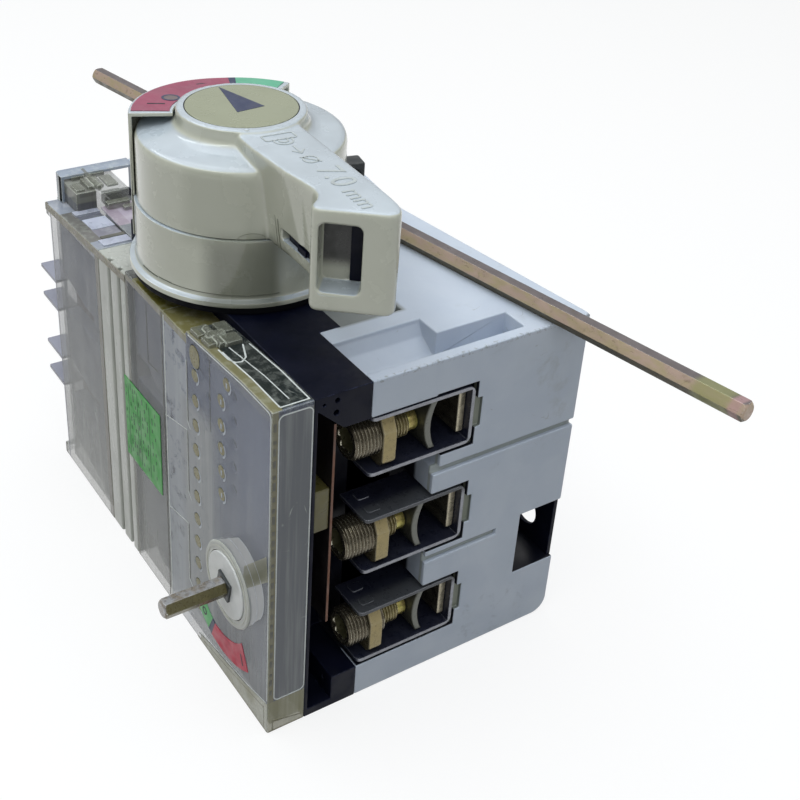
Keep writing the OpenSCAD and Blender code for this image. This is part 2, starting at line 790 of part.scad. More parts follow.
module padlock_slide() {
    color([0.12, 0.13, 0.2]) at_handle() rotate([0, 0, lever_a])
        block([slot_x[0] + 2, lever_shift - lever_w / 2 + 1, lever_z + slot_z[0] + slot_play],
            [slot_x[1] - slot_play, lever_shift - lever_w / 2 + 8, lever_z + slot_z[1] - slot_play]);
    color([0.12, 0.13, 0.2]) at_handle() rotate([0, 0, lever_a])
        in_window() block([window_w - 6.6, window_d - 1, window_z[0] + 0.8],
            [window_w - 0.2, window_d, window_z[1] - 1]);
}

base_housing();
mounting_plates();
arc_chamber();
insulating_sheet();
interlock_slide();
shaft_cover();
shaft_plate();
fuse_cover();
fuse_carriers();
centre_rib();
end_cover();
fuse_doors();
terminal_shroud();
terminal_guard();
phase_barriers();
rating_label();
indicator_green();
indicator_red();
indicator_divider();
terminal_frames();
terminal_bushes();
terminal_nuts();
clamp_screws();
pressure_plates();
terminal_tongues();
rotor_disc();
stub_shaft();
extension_shaft();
handle_gasket();
handle_ring();
position_bracket();
plate_red();
plate_green();
plate_divider();
padlock_hasp();
handle_knob();
cap_disc();
cap_pointer();
padlock_slide();
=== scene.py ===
"""Looks of a three-pole fused switch-disconnector lying on its side face.

A rotary lever handle stands on the upper side and a loose hexagonal extension shaft lies across it.
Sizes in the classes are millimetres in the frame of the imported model. Finished meshes are in metres.
"""

from __future__ import annotations

import logging
import math
from dataclasses import dataclass, replace
from enum import Enum
from typing import Callable, Iterable, Optional, Sequence, Union

import bmesh
import bpy
from mathutils import Matrix, Vector

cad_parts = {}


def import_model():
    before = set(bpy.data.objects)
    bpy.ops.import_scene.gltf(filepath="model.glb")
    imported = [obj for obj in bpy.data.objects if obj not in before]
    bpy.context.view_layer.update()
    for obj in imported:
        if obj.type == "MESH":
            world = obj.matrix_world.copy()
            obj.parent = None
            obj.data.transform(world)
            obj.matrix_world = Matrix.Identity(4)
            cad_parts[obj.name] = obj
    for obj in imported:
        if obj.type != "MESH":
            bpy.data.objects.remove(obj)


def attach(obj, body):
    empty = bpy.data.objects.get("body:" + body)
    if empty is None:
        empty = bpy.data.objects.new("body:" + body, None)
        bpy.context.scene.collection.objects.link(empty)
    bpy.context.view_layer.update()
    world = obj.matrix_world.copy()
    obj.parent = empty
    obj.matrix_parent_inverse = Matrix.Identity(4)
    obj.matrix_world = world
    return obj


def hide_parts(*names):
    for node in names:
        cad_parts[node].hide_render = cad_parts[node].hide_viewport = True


LOG = logging.getLogger("switch")
MM = 0.001
PER_METRE = 1000.0
# Heights of the three poles, and the near end face
POLES = (39.5, 100.5, 161.5)
END = 137.5
RGB = tuple[float, float, float]
Point = tuple[float, float]
Spot = tuple[float, float, float]
Socket = bpy.types.NodeSocket
Feed = Union[float, RGB, Vector, Socket]


def rgb(screen: int) -> RGB:
    """Turns a screen colour, 0xRRGGBB, into the linear colour that a shader takes.

    Args:
        screen: the colour as a screen shows it.
    Returns:
        The linear colour.
    """

    def linear(shift: int) -> float:
        """One channel, made linear by the sRGB curve."""
        value = (screen >> shift & 255) / 255
        return value / 12.92 if value <= 0.04045 else ((value + 0.055) / 1.055) ** 2.4

    return linear(16), linear(8), linear(0)


def turned(axis: str, degrees: float) -> Matrix:
    """A turn about one axis."""
    return Matrix.Rotation(math.radians(degrees), 4, axis)


def moved(x: float, y: float, z: float) -> Matrix:
    """A shift, in millimetres."""
    return Matrix.Translation((x, y, z))


def arc(centre: Point, radius: float, start: float, end: float, steps: int = 8) -> list[Point]:
    """Points along an arc, angles in degrees."""
    angles = [math.radians(start + (end - start) * i / steps) for i in range(steps + 1)]
    return [(centre[0] + radius * math.cos(a), centre[1] + radius * math.sin(a)) for a in angles]


def rounded_box(low: Point, high: Point, radius: float, steps: int = 5) -> list[Point]:
    """The outline of a rectangle with rounded corners."""
    (x0, y0), (x1, y1) = (low[0] + radius, low[1] + radius), (high[0] - radius, high[1] - radius)
    return [*arc((x1, y0), radius, -90, 0, steps), *arc((x1, y1), radius, 0, 90, steps),
        *arc((x0, y1), radius, 90, 180, steps), *arc((x0, y0), radius, 180, 270, steps)]


# Planes of drawing: XY laid on the front (x, z) and on the near end (y, z)
ON_FRONT = Matrix(((1, 0, 0, 0), (0, 0, -1, 0), (0, 1, 0, 0), (0, 0, 0, 1)))
ON_NEAR_END = Matrix(((0, 0, 1, 0), (1, 0, 0, 0), (0, 1, 0, 0), (0, 0, 0, 1)))
# A lathe's Z axis laid along +Y, and along +X
ALONG_Y = Matrix.Rotation(math.radians(-90), 4, "X")
ALONG_X = Matrix.Rotation(math.radians(90), 4, "Y")
MIRROR_X = Matrix.Scale(-1, 4, (1.0, 0.0, 0.0))


class Effect(Enum):
    """Surface effects that several materials share."""

    MOTTLE = "mottle"
    WEAR_AND_GLINT = "edge wear"
    HAIRLINES = "hairlines"
    GRAIN = "grain"
    ZONE = "zone"


class Net:
    """Writes the nodes of one material or of one shared effect."""

    def __init__(self, tree: bpy.types.NodeTree) -> None:
        """Starts on an empty tree."""
        self.tree = tree
        tree.nodes.clear()

    @classmethod
    def of_material(cls, name: str) -> tuple["Net", bpy.types.Material]:
        """Makes a material and its writer."""
        material = bpy.data.materials.new(name)
        material.use_nodes = True
        return cls(material.node_tree), material

    def node(self, kind: str, **settings: object) -> bpy.types.Node:
        """Adds a node and sets its properties."""
        made = self.tree.nodes.new(kind)
        for key, value in settings.items():
            setattr(made, key, value)
        return made

    def feed(self, socket: Socket, value: Feed) -> None:
        """Links a socket, or sets its constant.

        Args:
            socket: the input to feed.
            value: an output socket, a number, or a colour or vector.
        """
        if isinstance(value, Socket):
            self.tree.links.new(value, socket)
        elif isinstance(value, (tuple, list, Vector)):
            socket.default_value = (*value, 1.0)[: len(socket.default_value)]
        else:
            socket.default_value = value

    def maths(self, operation: str, first: Feed, second: Feed = 0.0, clamp: bool = False) -> Socket:
        """One step of arithmetic."""
        made = self.node("ShaderNodeMath", operation=operation, use_clamp=clamp)
        self.feed(made.inputs[0], first)
        self.feed(made.inputs[1], second)
        return made.outputs[0]

    def vector(self, operation: str, first: Feed, second: Feed = (0.0, 0.0, 0.0)) -> Socket:
        """One step of vector arithmetic."""
        made = self.node("ShaderNodeVectorMath", operation=operation)
        self.feed(made.inputs[0], first)
        if operation == "SCALE":
            self.feed(made.inputs["Scale"], second)
        else:
            self.feed(made.inputs[1], second)
        return made.outputs["Value" if operation in ("DOT_PRODUCT", "LENGTH") else "Vector"]

    def parts(self, value: Feed) -> tuple[Socket, ...]:
        """The three parts of a vector."""
        made = self.node("ShaderNodeSeparateXYZ")
        self.feed(made.inputs[0], value)
        return tuple(made.outputs)

    def mix(self, share: Feed, first: Feed, second: Feed) -> Socket:
        """Blends two colours."""
        made = self.node("ShaderNodeMix", data_type="RGBA", clamp_factor=True)
        # A mix of colours has its share at input 0 and its colours at 6 and 7
        for index, value in ((0, share), (6, first), (7, second)):
            self.feed(made.inputs[index], value)
        return made.outputs[2]

    def ramp(self, value: Feed, low: Feed, high: Feed, to_low: Feed = 0.0, to_high: Feed = 1.0,
            kind: str = "SMOOTHSTEP") -> Socket:
        """Maps a value from one range to another, held at its ends."""
        made = self.node("ShaderNodeMapRange", interpolation_type=kind)
        for socket, fed in zip(made.inputs, (value, low, high, to_low, to_high)):
            self.feed(socket, fed)
        return made.outputs[0]

    def noise(self, at: Feed, size: Feed, detail: float = 4.0, roughness: float = 0.55,
            distortion: float = 0.0) -> Socket:
        """Noise whose features are about size millimetres across."""
        made = self.node("ShaderNodeTexNoise")
        scale = 1.0 / size if isinstance(size, (int, float)) else self.maths("DIVIDE", 1.0, size)
        for name, value in (("Vector", at), ("Scale", scale), ("Detail", detail),
                ("Roughness", roughness), ("Distortion", distortion)):
            self.feed(made.inputs[name], value)
        return made.outputs[0]

    def stretched(self, at: Feed, scale: Spot) -> Socket:
        """A pattern's coordinates, scaled along each axis."""
        made = self.node("ShaderNodeMapping")
        self.feed(made.inputs["Vector"], at)
        made.inputs["Scale"].default_value = scale
        return made.outputs[0]

    def position(self) -> Socket:
        """Place on the object, in millimetres."""
        return self.vector("SCALE", self.node("ShaderNodeTexCoord").outputs["Object"], PER_METRE)

    def effect(self, kind: Effect, **values: Feed) -> Socket:
        """Places a shared effect, fed by the names of its inputs, and returns its output."""
        made = self.node("ShaderNodeGroup")
        made.node_tree = SharedEffects.get(kind)
        for key, value in values.items():
            self.feed(made.inputs[key], value)
        return made.outputs[0]

    def broken(self, mask: Feed, noise: Feed, share: Feed, low: float, high: float) -> Socket:
        """Keeps a mask where noise, raised by a share above a half, passes a threshold."""
        raised = self.maths("ADD", noise, self.maths("SUBTRACT", share, 0.5))
        return self.maths("MULTIPLY", mask, self.ramp(raised, low, high), True)

    def surface(self, height: Feed, strength: float, **settings: Feed) -> None:
        """Ends a material with one shader and a fine relief.

        Args:
            height: the relief's height.
            strength: how strongly it shows.
            settings: what feeds the shader's inputs; underscores stand for spaces.
        """
        relief = self.node("ShaderNodeBump")
        for name, value in (("Strength", strength), ("Distance", MM), ("Height", height)):
            self.feed(relief.inputs[name], value)
        shader = self.node("ShaderNodeBsdfPrincipled")
        for key, value in {**settings, "Normal": relief.outputs[0]}.items():
            self.feed(shader.inputs[key.replace("_", " ")], value)
        self.feed(self.node("ShaderNodeOutputMaterial").inputs["Surface"], shader.outputs[0])


class SharedEffects:
    """The shared node groups, each built on its first use."""

    _made: dict[Effect, bpy.types.NodeTree] = {}

    @classmethod
    def get(cls, kind: Effect) -> bpy.types.NodeTree:
        """The node group of an effect."""
        if kind not in cls._made:
            makers = {Effect.MOTTLE: cls._mottle, Effect.WEAR_AND_GLINT: cls._wear_and_glint,
                Effect.HAIRLINES: cls._hairlines, Effect.GRAIN: cls._grain, Effect.ZONE: cls._zone}
            cls._made[kind] = makers[kind](kind.value)
        return cls._made[kind]

    @staticmethod
    def _group(name: str, inputs: dict[str, float | None], output: str) -> tuple[Net,
            dict[str, Socket], Socket]:
        """Starts a node group.

        Args:
            name: the group's name.
            inputs: each input with its usual value, or None where it is a vector.
            output: the name of its one output.
        Returns:
            The writer, the inputs by name, and the socket to feed with the result.
        """
        tree = bpy.data.node_groups.new(name, "ShaderNodeTree")
        net = Net(tree)
        for key, value in inputs.items():
            kind = "NodeSocketVector" if value is None else "NodeSocketFloat"
            made = tree.interface.new_socket(name=key, in_out="INPUT", socket_type=kind)
            if value is not None:
                made.default_value = value
        tree.interface.new_socket(name=output, in_out="OUTPUT", socket_type="NodeSocketFloat")
        taken = net.node("NodeGroupInput")
        given = net.node("NodeGroupOutput")
        return net, {key: taken.outputs[key] for key in inputs}, given.inputs[0]

    @classmethod
    def _mottle(cls, name: str) -> bpy.types.NodeTree:
        """Soft patches: noise between two levels."""
        net, fed, out = cls._group(name, {"At": None, "Size": 10.0, "Low": 0.4, "High": 0.65},
            "Mask")
        net.feed(out, net.ramp(net.noise(fed["At"], fed["Size"], 5.0, 0.6, 0.3), fed["Low"],
                fed["High"]))
        return net.tree

    @classmethod
    def _wear_and_glint(cls, name: str) -> bpy.types.NodeTree:
        """Edges for wear and for painted highlights: where the rounded normal leaves the face's own,
        broken up by noise.
        """
        net, fed, out = cls._group(name, {"At": None, "Width": 0.0008, "Share": 0.5, "Patch": 6.0},
            "Mask")
        rounded = net.node("ShaderNodeBevel", samples=4)
        net.feed(rounded.inputs["Radius"], fed["Width"])
        bent = net.vector("DOT_PRODUCT", rounded.outputs[0],
            net.node("ShaderNodeNewGeometry").outputs["True Normal"])
        edge = net.ramp(net.maths("SUBTRACT", 1.0, bent), 0.02, 0.16)
        patch = net.noise(fed["At"], fed["Patch"], 5.0, 0.65)
        net.feed(out, net.broken(edge, patch, fed["Share"], 0.42, 0.62))
        return net.tree

    @classmethod
    def _hairlines(cls, name: str) -> bpy.types.NodeTree:
        """Thin broken scratches: level lines of a stretched noise."""
        net, fed, out = cls._group(name, {"At": None, "Size": 30.0, "Width": 0.006, "Share": 0.4},
            "Mask")
        field_ = net.noise(fed["At"], fed["Size"], 2.0, 0.5, 0.6)
        off = net.maths("ABSOLUTE", net.maths("SUBTRACT", field_, 0.5))
        line = net.ramp(off, 0.0, fed["Width"], 1.0, 0.0)
        patch = net.noise(fed["At"], net.maths("MULTIPLY", fed["Size"], 0.37), 4.0, 0.6)
        net.feed(out, net.broken(line, patch, fed["Share"], 0.5, 0.6))
        return net.tree

    @classmethod
    def _grain(cls, name: str) -> bpy.types.NodeTree:
        """Fine moulded or drawn grain, as a height."""
        net, fed, out = cls._group(name, {"At": None, "Size": 0.8, "Depth": 0.02}, "Height")
        fine = net.noise(fed["At"], fed["Size"], 3.0, 0.6)
        broad = net.noise(fed["At"], net.maths("MULTIPLY", fed["Size"], 14.0), 3.0, 0.5)
        both = net.maths("ADD", fine, net.maths("MULTIPLY", broad, 2.0))
        net.feed(out, net.maths("MULTIPLY", both, fed["Depth"]))
        return net.tree

    @classmethod
    def _zone(cls, name: str) -> bpy.types.NodeTree:
        """A patchy mask inside a box."""
        net, fed, out = cls._group(name, {"At": None, "Low": None, "High": None, "Soft": 2.0,
                "Patch": 8.0, "Share": 1.0}, "Mask")
        from_low = net.parts(net.vector("SUBTRACT", fed["At"], fed["Low"]))
        to_high = net.parts(net.vector("SUBTRACT", fed["High"], fed["At"]))
        mask: Feed = 1.0
        for side in (*from_low, *to_high):
            inside = net.ramp(net.maths("DIVIDE", side, fed["Soft"]), -1.0, 0.0)
            mask = net.maths("MULTIPLY", mask, inside)
        patch = net.noise(fed["At"], fed["Patch"], 5.0, 0.62, 0.4)
        net.feed(out, net.broken(mask, patch, fed["Share"], 0.4, 0.62))
        return net.tree


@dataclass(frozen=True)
class Zone:
    """A patchy stain, painted shade or painted reflection inside a box of the frame."""

    low: Spot
    high: Spot
    colour: int
    share: float = 1.0
    soft: float = 2.0
    patch: float = 8.0
    strength: float = 1.0


@dataclass(frozen=True)
class Finish:
    """An opaque surface with mottling, dirt, edges painted with wear and highlights, hairlines and fine
    grain.
    """

    name: str
    colour: int
    mottle: int
    worn_and_glint: int
    dirt: int
    mottle_size: float = 14.0
    mottle_share: float = 0.6
    wear_and_glint: float = 0.4
    wear_and_glint_width: float = 0.8
    dirt_size: float = 22.0
    dirt_share: float = 0.3
    hairline: float = 0.2
    roughness: float = 0.5
    rough_spread: float = 0.14
    metallic: float = 0.0
    coat: float = 0.0
    grain: float = 0.005
    grain_size: float = 0.8
    stretch: Spot = (1.0, 1.0, 1.0)
    zones: tuple[Zone, ...] = ()
    specular: float = 0.5

    def tint(self, net: Net, at: Socket, base: Socket) -> Socket:
        """A finish with a pattern of its own adds it here."""
        return base

    def build(self) -> bpy.types.Material:
        """Writes the material."""
        net, material = Net.of_material(self.name)
        at = net.position()
        drawn = net.stretched(at, self.stretch)
        dirt = rgb(self.dirt)
        patch = net.effect(Effect.MOTTLE, At=drawn, Size=self.mottle_size, Low=0.36, High=0.66)
        base = net.mix(net.maths("MULTIPLY", patch, self.mottle_share), rgb(self.colour),
            rgb(self.mottle))
        base = self.tint(net, at, base)
        lower = 0.2 * self.dirt_share
        dirty = net.effect(Effect.MOTTLE, At=at, Size=self.dirt_size, Low=0.62 - lower,
            High=0.86 - lower)
        base = net.mix(net.maths("MULTIPLY", dirty, min(1.0, 2 * self.dirt_share)), base, dirt)
        # Zones paint stains, and on some finishes painted shade and painted reflections.
        for zone in self.zones:
            mask = net.effect(Effect.ZONE, At=at, Low=zone.low, High=zone.high, Soft=zone.soft,
                Patch=zone.patch, Share=zone.share)
            base = net.mix(net.maths("MULTIPLY", mask, zone.strength), base, rgb(zone.colour))
        scratch = net.effect(Effect.HAIRLINES, At=drawn, Size=34.0, Width=0.005,
            Share=self.hairline)
        base = net.mix(net.maths("MULTIPLY", scratch, 0.6), base, dirt)
        # The edge colour paints wear and, on dark and metal parts, painted highlights along the edges.
        edge = net.effect(Effect.WEAR_AND_GLINT, At=at, Width=self.wear_and_glint_width * MM, Share=self.wear_and_glint,
            Patch=5.0)
        smooth, rough = max(0.04, self.roughness - self.rough_spread), min(1.0,
            self.roughness + self.rough_spread)
        net.surface(net.effect(Effect.GRAIN, At=drawn, Size=self.grain_size, Depth=self.grain), 0.6,
            Base_Color=net.mix(edge, base, rgb(self.worn_and_glint)),
            Roughness=net.ramp(net.noise(drawn, self.mottle_size * 0.6, 5.0, 0.6), 0.3, 0.7, smooth,
                rough), Metallic=self.metallic, Coat_Weight=self.coat,
            Specular_IOR_Level=self.specular)
        return material


@dataclass(frozen=True)
class FacedFinish(Finish):
    """A finish whose faces across one axis take another colour: their own colour on some parts, painted
    light and shade on others.
    """

    axis: int = 0
    faced: int = 0x808080
    faced_size: float = 3.0
    painted_shade_below: Optional[int] = None

    def tint(self, net: Net, at: Socket, base: Socket) -> Socket:
        """Mixes in the colours of the faces across the axis and the painted shade of the faces that look
        down.
        """
        normal = net.parts(net.node("ShaderNodeNewGeometry").outputs["Normal"])
        across = net.maths("ABSOLUTE", normal[self.axis])
        patch = net.ramp(net.noise(at, self.faced_size, 4.0, 0.6), 0.3, 0.75, 0.85, 1.15)
        shade = net.vector("SCALE", rgb(self.faced), patch)
        base = net.mix(net.ramp(across, 0.6, 0.9), base, shade)
        if self.painted_shade_below is None:
            return base
        # Faces that look down take a painted shade.
        return net.mix(net.ramp(normal[2], -0.4, -0.2, 1.0, 0.0), base, rgb(self.painted_shade_below))


@dataclass(frozen=True)
class Pane:
    """A part of a clear cover with a colour and a cover of its own."""

    low: Spot
    high: Spot
    colour: int
    alpha: float = 0.85
    soft: float = 0.3
    share: float = 1.0


@dataclass(frozen=True)
class ClearFinish:
    """Clear moulded plastic: hazy streaked panes, and light painted along the edges."""

    name: str
    haze: int
    alpha: float = 0.34
    rim: int = 0xE2E6DC
    rim_width: float = 0.9
    streak: float = 0.5
    roughness: float = 0.16
    milk: float = 0.0
    panes: tuple[Pane, ...] = ()

    def build(self) -> bpy.types.Material:
        """Writes the material."""
        net, material = Net.of_material(self.name)
        at, rim = net.position(), rgb(self.rim)
        patch = net.effect(Effect.MOTTLE, At=net.stretched(at, (1.0, 1.0, 0.3)), Size=22.0,
            Low=0.35, High=0.7)
        streaks = net.ramp(net.noise(net.stretched(at, (1.0, 1.0, 0.04)), 4.5, 4.0, 0.6), 0.42,
            0.72)
        low = net.maths("MULTIPLY", net.ramp(net.parts(at)[2], 20.0, 175.0, 1.0, 0.0, "LINEAR"),
            self.milk)
        base: Feed = net.mix(low, rgb(self.haze), rgb(0xC0C1BA))
        alpha: Feed = net.maths("ADD", net.maths("MULTIPLY", low, 0.3), self.alpha)
        for pane in self.panes:
            mask = net.effect(Effect.ZONE, At=at, Low=pane.low, High=pane.high, Soft=pane.soft,
                Share=pane.share)
            base = net.mix(mask, base, rgb(pane.colour))
            alpha = net.maths("ADD", net.maths("MULTIPLY", alpha, net.maths("SUBTRACT", 1.0, mask)),
                net.maths("MULTIPLY", mask, pane.alpha))
        base = net.mix(net.maths("MULTIPLY", patch, 0.3), base, net.vector("SCALE", base, 0.6))
        base = net.mix(net.maths("MULTIPLY", streaks, 0.3 * self.streak), base, rim)
        # The rim colour paints the light along edges and scratches: bright on most covers, darker on the
        # barriers.
        edge = net.effect(Effect.WEAR_AND_GLINT, At=at, Width=self.rim_width * MM, Share=0.95, Patch=12.0)
        scratch = net.effect(Effect.HAIRLINES, At=at, Size=40.0, Width=0.004, Share=0.45)
        bright = net.maths("MAXIMUM", edge, net.maths("MULTIPLY", scratch, 0.5))
        alpha = net.maths("ADD", alpha, net.maths("MULTIPLY", net.maths("ADD", patch, streaks),
                0.05))
        net.surface(net.effect(Effect.GRAIN, At=at, Size=12.0, Depth=0.05), 0.4,
            Base_Color=net.mix(net.maths("MULTIPLY", bright, 0.85), base, rim),
            Alpha=net.maths("MAXIMUM", alpha, net.maths("MULTIPLY", bright, 0.9)),
            Roughness=net.ramp(net.noise(at, 9.0, 5.0), 0.3, 0.7, self.roughness * 0.6,
                self.roughness * 1.7))
        return material


AnyFinish = Union[Finish, ClearFinish]


class Paint:
    """The finishes by name, each turned into a material on its first use."""

    _made: dict[str, bpy.types.Material] = {}

    @classmethod
    def of(cls, finish: AnyFinish) -> bpy.types.Material:
        """The material of a finish."""
        if finish.name not in cls._made:
            cls._made[finish.name] = finish.build()
        return cls._made[finish.name]


# Painted shade: near black in the housing's clamp cavities and behind the keyholes, olive on its recessed
# end panel.
PAINTED_CAVITY_SHADE = 0x0C0E1A
PAINTED_OLIVE_SHADE = 0x969A8A


def both_ends(*zones: Zone) -> tuple[Zone, ...]:
    """The zones, and the same zones mirrored to the far end."""
    return (*zones, *(replace(zone, low=(-zone.high[0], *zone.low[1:]),
                high=(-zone.low[0], *zone.high[1:])) for zone in zones))


# The worn colour of the navy moulding paints highlights along its edges.
NAVY_FINISH = Finish("navy_moulding", 0x060918, 0x0D1022, 0x4A506E, 0x3A3A3A, mottle_size=20.0,
    wear_and_glint=0.5, wear_and_glint_width=0.6, roughness=0.48, grain=0.01, dirt_share=0.08, specular=0.13)
# Housing zones after the first three, at both ends: painted shade in the clamp bays and cavities, in the
# clip recesses, on the recessed end panel and behind the keyholes, and chips along the near end's top
# edge.
HOUSING_FINISH = Finish("housing_white", 0xC7CFDB, 0xBCC5D4, 0xE2E6EA, 0x8A8C88, mottle_size=38.0,
    wear_and_glint=0.35, roughness=0.46, dirt_share=0.12, hairline=0.42,
    zones=(Zone((-89.0, -27.5, 190.0), (89.0, 8.5, 199.4), 0x767870, 0.9, 3.0, 9.0, 0.85),
        Zone((-140.0, 60.0, 120.0), (140.0, 95.0, 202.0), 0x969894, 0.38, 8.0, 16.0, 0.3),
        Zone((137.0, 30.0, 0.0), (139.0, 70.0, 30.0), 0x7E848E, 0.38, 6.0, 7.0, 0.3),
        # Painted shade in the clamp bays and in the cavities round each pole's clamp.
        *both_ends(Zone((99.0, -50.0, 20.0), (121.0, 0.4, 183.0), PAINTED_CAVITY_SHADE, soft=3.0),
            *(Zone((99.0, -50.0, z - 19.0), (137.1, 23.8, z + 19.0), PAINTED_CAVITY_SHADE, soft=0.3)
            for z in POLES), *(Zone((134.0, 23.6, z - 8.9), (136.8, 27.0, z + 8.9), 0x707670,
            soft=0.2) for z in POLES), Zone((136.0, -39.0, 198.4), (139.0, 92.0, 201.0), 0x92969A,
            0.42, 0.6, 2.2), Zone((133.6, -1.0, 18.0), (135.2, 92.0, 184.0), PAINTED_OLIVE_SHADE, 0.85, 0.4,
            14.0, 0.6), Zone((80.0, 60.0, 39.6), (137.0, 92.0, 81.6), PAINTED_CAVITY_SHADE, soft=0.2))))
# Cream moulding: faces that lie flat across Z are painted bluish as lit by the sky, and two zones paint
# shade on the ring and the knob wall under the lever.
CREAM_FINISH = FacedFinish("cream_moulding", 0xC9CABA, 0xC2C3B2, 0xE0E4E4, 0xA09E8C,
    mottle_size=34.0, wear_and_glint=0.35, wear_and_glint_width=0.6, roughness=0.25, rough_spread=0.06, coat=0.7,
    dirt_share=0.06, hairline=0.3, grain=0.0012, grain_size=1.6, axis=2, faced=0xBAC3CA,
    faced_size=70.0, zones=(Zone((50.0, -90.0, 204.0), (74.0, -50.0, 237.0), 0x6E7062, soft=9.0,
            strength=0.8), Zone((40.0, -96.0, 240.0), (64.0, -60.0, 268.0), 0xA6A896, soft=9.0,
            strength=0.5)))
GREY_FINISH = Finish("grey_panel", 0x868DA2, 0x747A8C, 0xAAB0BE, 0x5C5C54, mottle_size=30.0,
    roughness=0.5)
PLATE_FINISH = Finish("shaft_panel", 0x969EB8, 0x848AA0, 0xB4BAC8, 0x787A7C, mottle_size=34.0,
    mottle_share=0.8, roughness=0.45, dirt_size=40.0, stretch=(1.0, 1.0, 0.3))
RIB_FINISH = Finish("rib_moulding", 0xBCBEB6, 0xACAEA6, 0xDEE0DA, 0x848274, mottle_size=18.0,
    wear_and_glint=0.5, roughness=0.3, coat=0.3, dirt_share=0.3, stretch=(1.0, 1.0, 0.3))
# The sheet's faces are painted near black as in shade; its faces across X show its own brown edge.
BROWN_FINISH = FacedFinish("brown_sheet", 0x181416, 0x221A18, 0x785642, 0x141010, wear_and_glint=0.3, axis=0,
    faced=0x704834)
AMBER_FINISH = Finish("amber_slide", 0x625C32, 0x4E4828, 0x8C8654, 0x2C2818, roughness=0.35)
GREEN_FINISH = Finish("green_label", 0x4AA850, 0x409846, 0x96C48C, 0x3C643C, grain=0.005)
INDICATOR_GREEN = Finish("indicator_green", 0x78C884, 0x68B876, 0xA8DCAA, 0x467850, grain=0.005)
INDICATOR_RED = Finish("indicator_red", 0xD03E56, 0xBE364E, 0xD68C96, 0x6E3240, grain=0.005)
PLATE_RED = Finish("plate_red", 0x964A60, 0x8A4258, 0xDEA0B0, 0x744654, grain=0.005)
PLATE_GREEN = Finish("plate_green", 0x62AC8C, 0x58A080, 0xB0E4CE, 0x50826E, grain=0.005)
PRINT_FINISH = Finish("navy_print", 0x2E3652, 0x28304A, 0x6E748C, 0x282A38, grain=0.005)
FRAME_FINISH = FacedFinish("frame_steel", 0x222535, 0x363846, 0xA8AAB0, 0x18181E, mottle_size=7.0,
    metallic=0.2, roughness=0.36, wear_and_glint=0.85, wear_and_glint_width=0.6, grain=0.006, grain_size=0.5,
    specular=0.35, axis=0, faced=0xA0A1A8, zones=both_ends(
        # A painted reflection of the sky on the strap tops near the end.
        *(Zone((131.0, -40.0, z + 16.6), (139.0, 24.0, z + 18.0), 0x4E5054, soft=7.0)
            for z in POLES[:2])))
PRESSURE_FINISH = FacedFinish("pressure_plate", 0x54544A, 0x40403A, 0xAAAAA2, 0x282824,
    mottle_size=5.0, metallic=0.35, roughness=0.4, wear_and_glint=0.8, wear_and_glint_width=0.5, axis=0, faced=0x70716A)
SCREW_FINISH = Finish("screw_zinc", 0x867C54, 0x64543C, 0xD8D0AA, 0x362C1A, mottle_size=4.0,
    metallic=0.55, roughness=0.32, wear_and_glint=0.7, wear_and_glint_width=0.4, grain=0.005, grain_size=0.5)
TIP_FINISH = Finish("screw_tip", 0xB2AA5C, 0x967A54, 0xE8E2BE, 0x544C22, mottle_size=4.0,
    metallic=0.5, roughness=0.28, wear_and_glint=0.7, wear_and_glint_width=0.5)
# The nuts' facets across X are painted lighter than the rest, as lit and shaded sides.
ZINC_FINISH = FacedFinish("zinc_plate", 0x68604A, 0x504836, 0xE2DEC4, 0x322A1E, mottle_size=5.0,
    metallic=0.5, roughness=0.34, wear_and_glint=0.75, wear_and_glint_width=0.7, grain=0.006, grain_size=0.5, axis=0,
    faced=0x94865E)
# The worn colour of the bushes paints highlights on the thread crests.
BUSH_FINISH = Finish("bush_zinc", 0x645D4E, 0x484136, 0xE2DEC8, 0x221C16, mottle_size=5.0,
    metallic=0.75, roughness=0.26, rough_spread=0.08, wear_and_glint=0.9, wear_and_glint_width=0.35, grain=0.003,
    grain_size=0.5)
SOCKET_FINISH = Finish("socket_zinc", 0x7C785A, 0x605C42, 0xD6D6B0, 0x464028, mottle_size=3.0,
    metallic=0.5, roughness=0.4)
# The rod's facets across Z are painted darker, and the facets that look down are painted in shade.
ROD_FINISH = FacedFinish("drawn_rod", 0xB8A090, 0xACA074, 0xE0D8CC, 0x605238, mottle_size=3.4,
    metallic=0.3, roughness=0.4, wear_and_glint=0.8, wear_and_glint_width=0.45, grain=0.008, grain_size=0.6,
    stretch=(0.35, 0.35, 1.0), dirt_size=5.0, dirt_share=0.3, axis=2, faced=0x686060,
    faced_size=9.0, painted_shade_below=0x524A34, zones=(Zone((220.0, -200.0, 190.0), (234.0, 200.0, 230.0),
            0x92945C, soft=5.0, strength=0.6), Zone((238.0, -200.0, 190.0), (241.0, 200.0, 230.0),
            0xBE9696, soft=2.0, strength=0.6)))
# The stub's facets across X are painted darker, as shade.
STUB_FINISH = FacedFinish("stub_steel", 0xA8A8AA, 0x887C6C, 0xECECE4, 0x705C34, mottle_size=3.4,
    mottle_share=0.9, metallic=0.35, roughness=0.3, rough_spread=0.08, wear_and_glint=0.95, wear_and_glint_width=0.5,
    dirt_size=7.0, dirt_share=0.2, grain=0.003, axis=0, faced=0x625C3A, faced_size=6.0)
COPPER_FINISH = FacedFinish("tinned_copper", 0x4E4940, 0x706A5C, 0xD8D2BC, 0x221E1A,
    mottle_size=5.0, mottle_share=0.9, metallic=0.6, roughness=0.3, wear_and_glint=0.7, hairline=0.6,
    dirt_size=6.0, dirt_share=0.4, stretch=(0.4, 1.0, 1.0), axis=0, faced=0xB0A892)
WHITE_FINISH = Finish("rotor_white", 0xEEEFEE, 0xDEE0E0, 0xECEEEE, 0xA09E92, mottle_size=12.0,
    roughness=0.42)
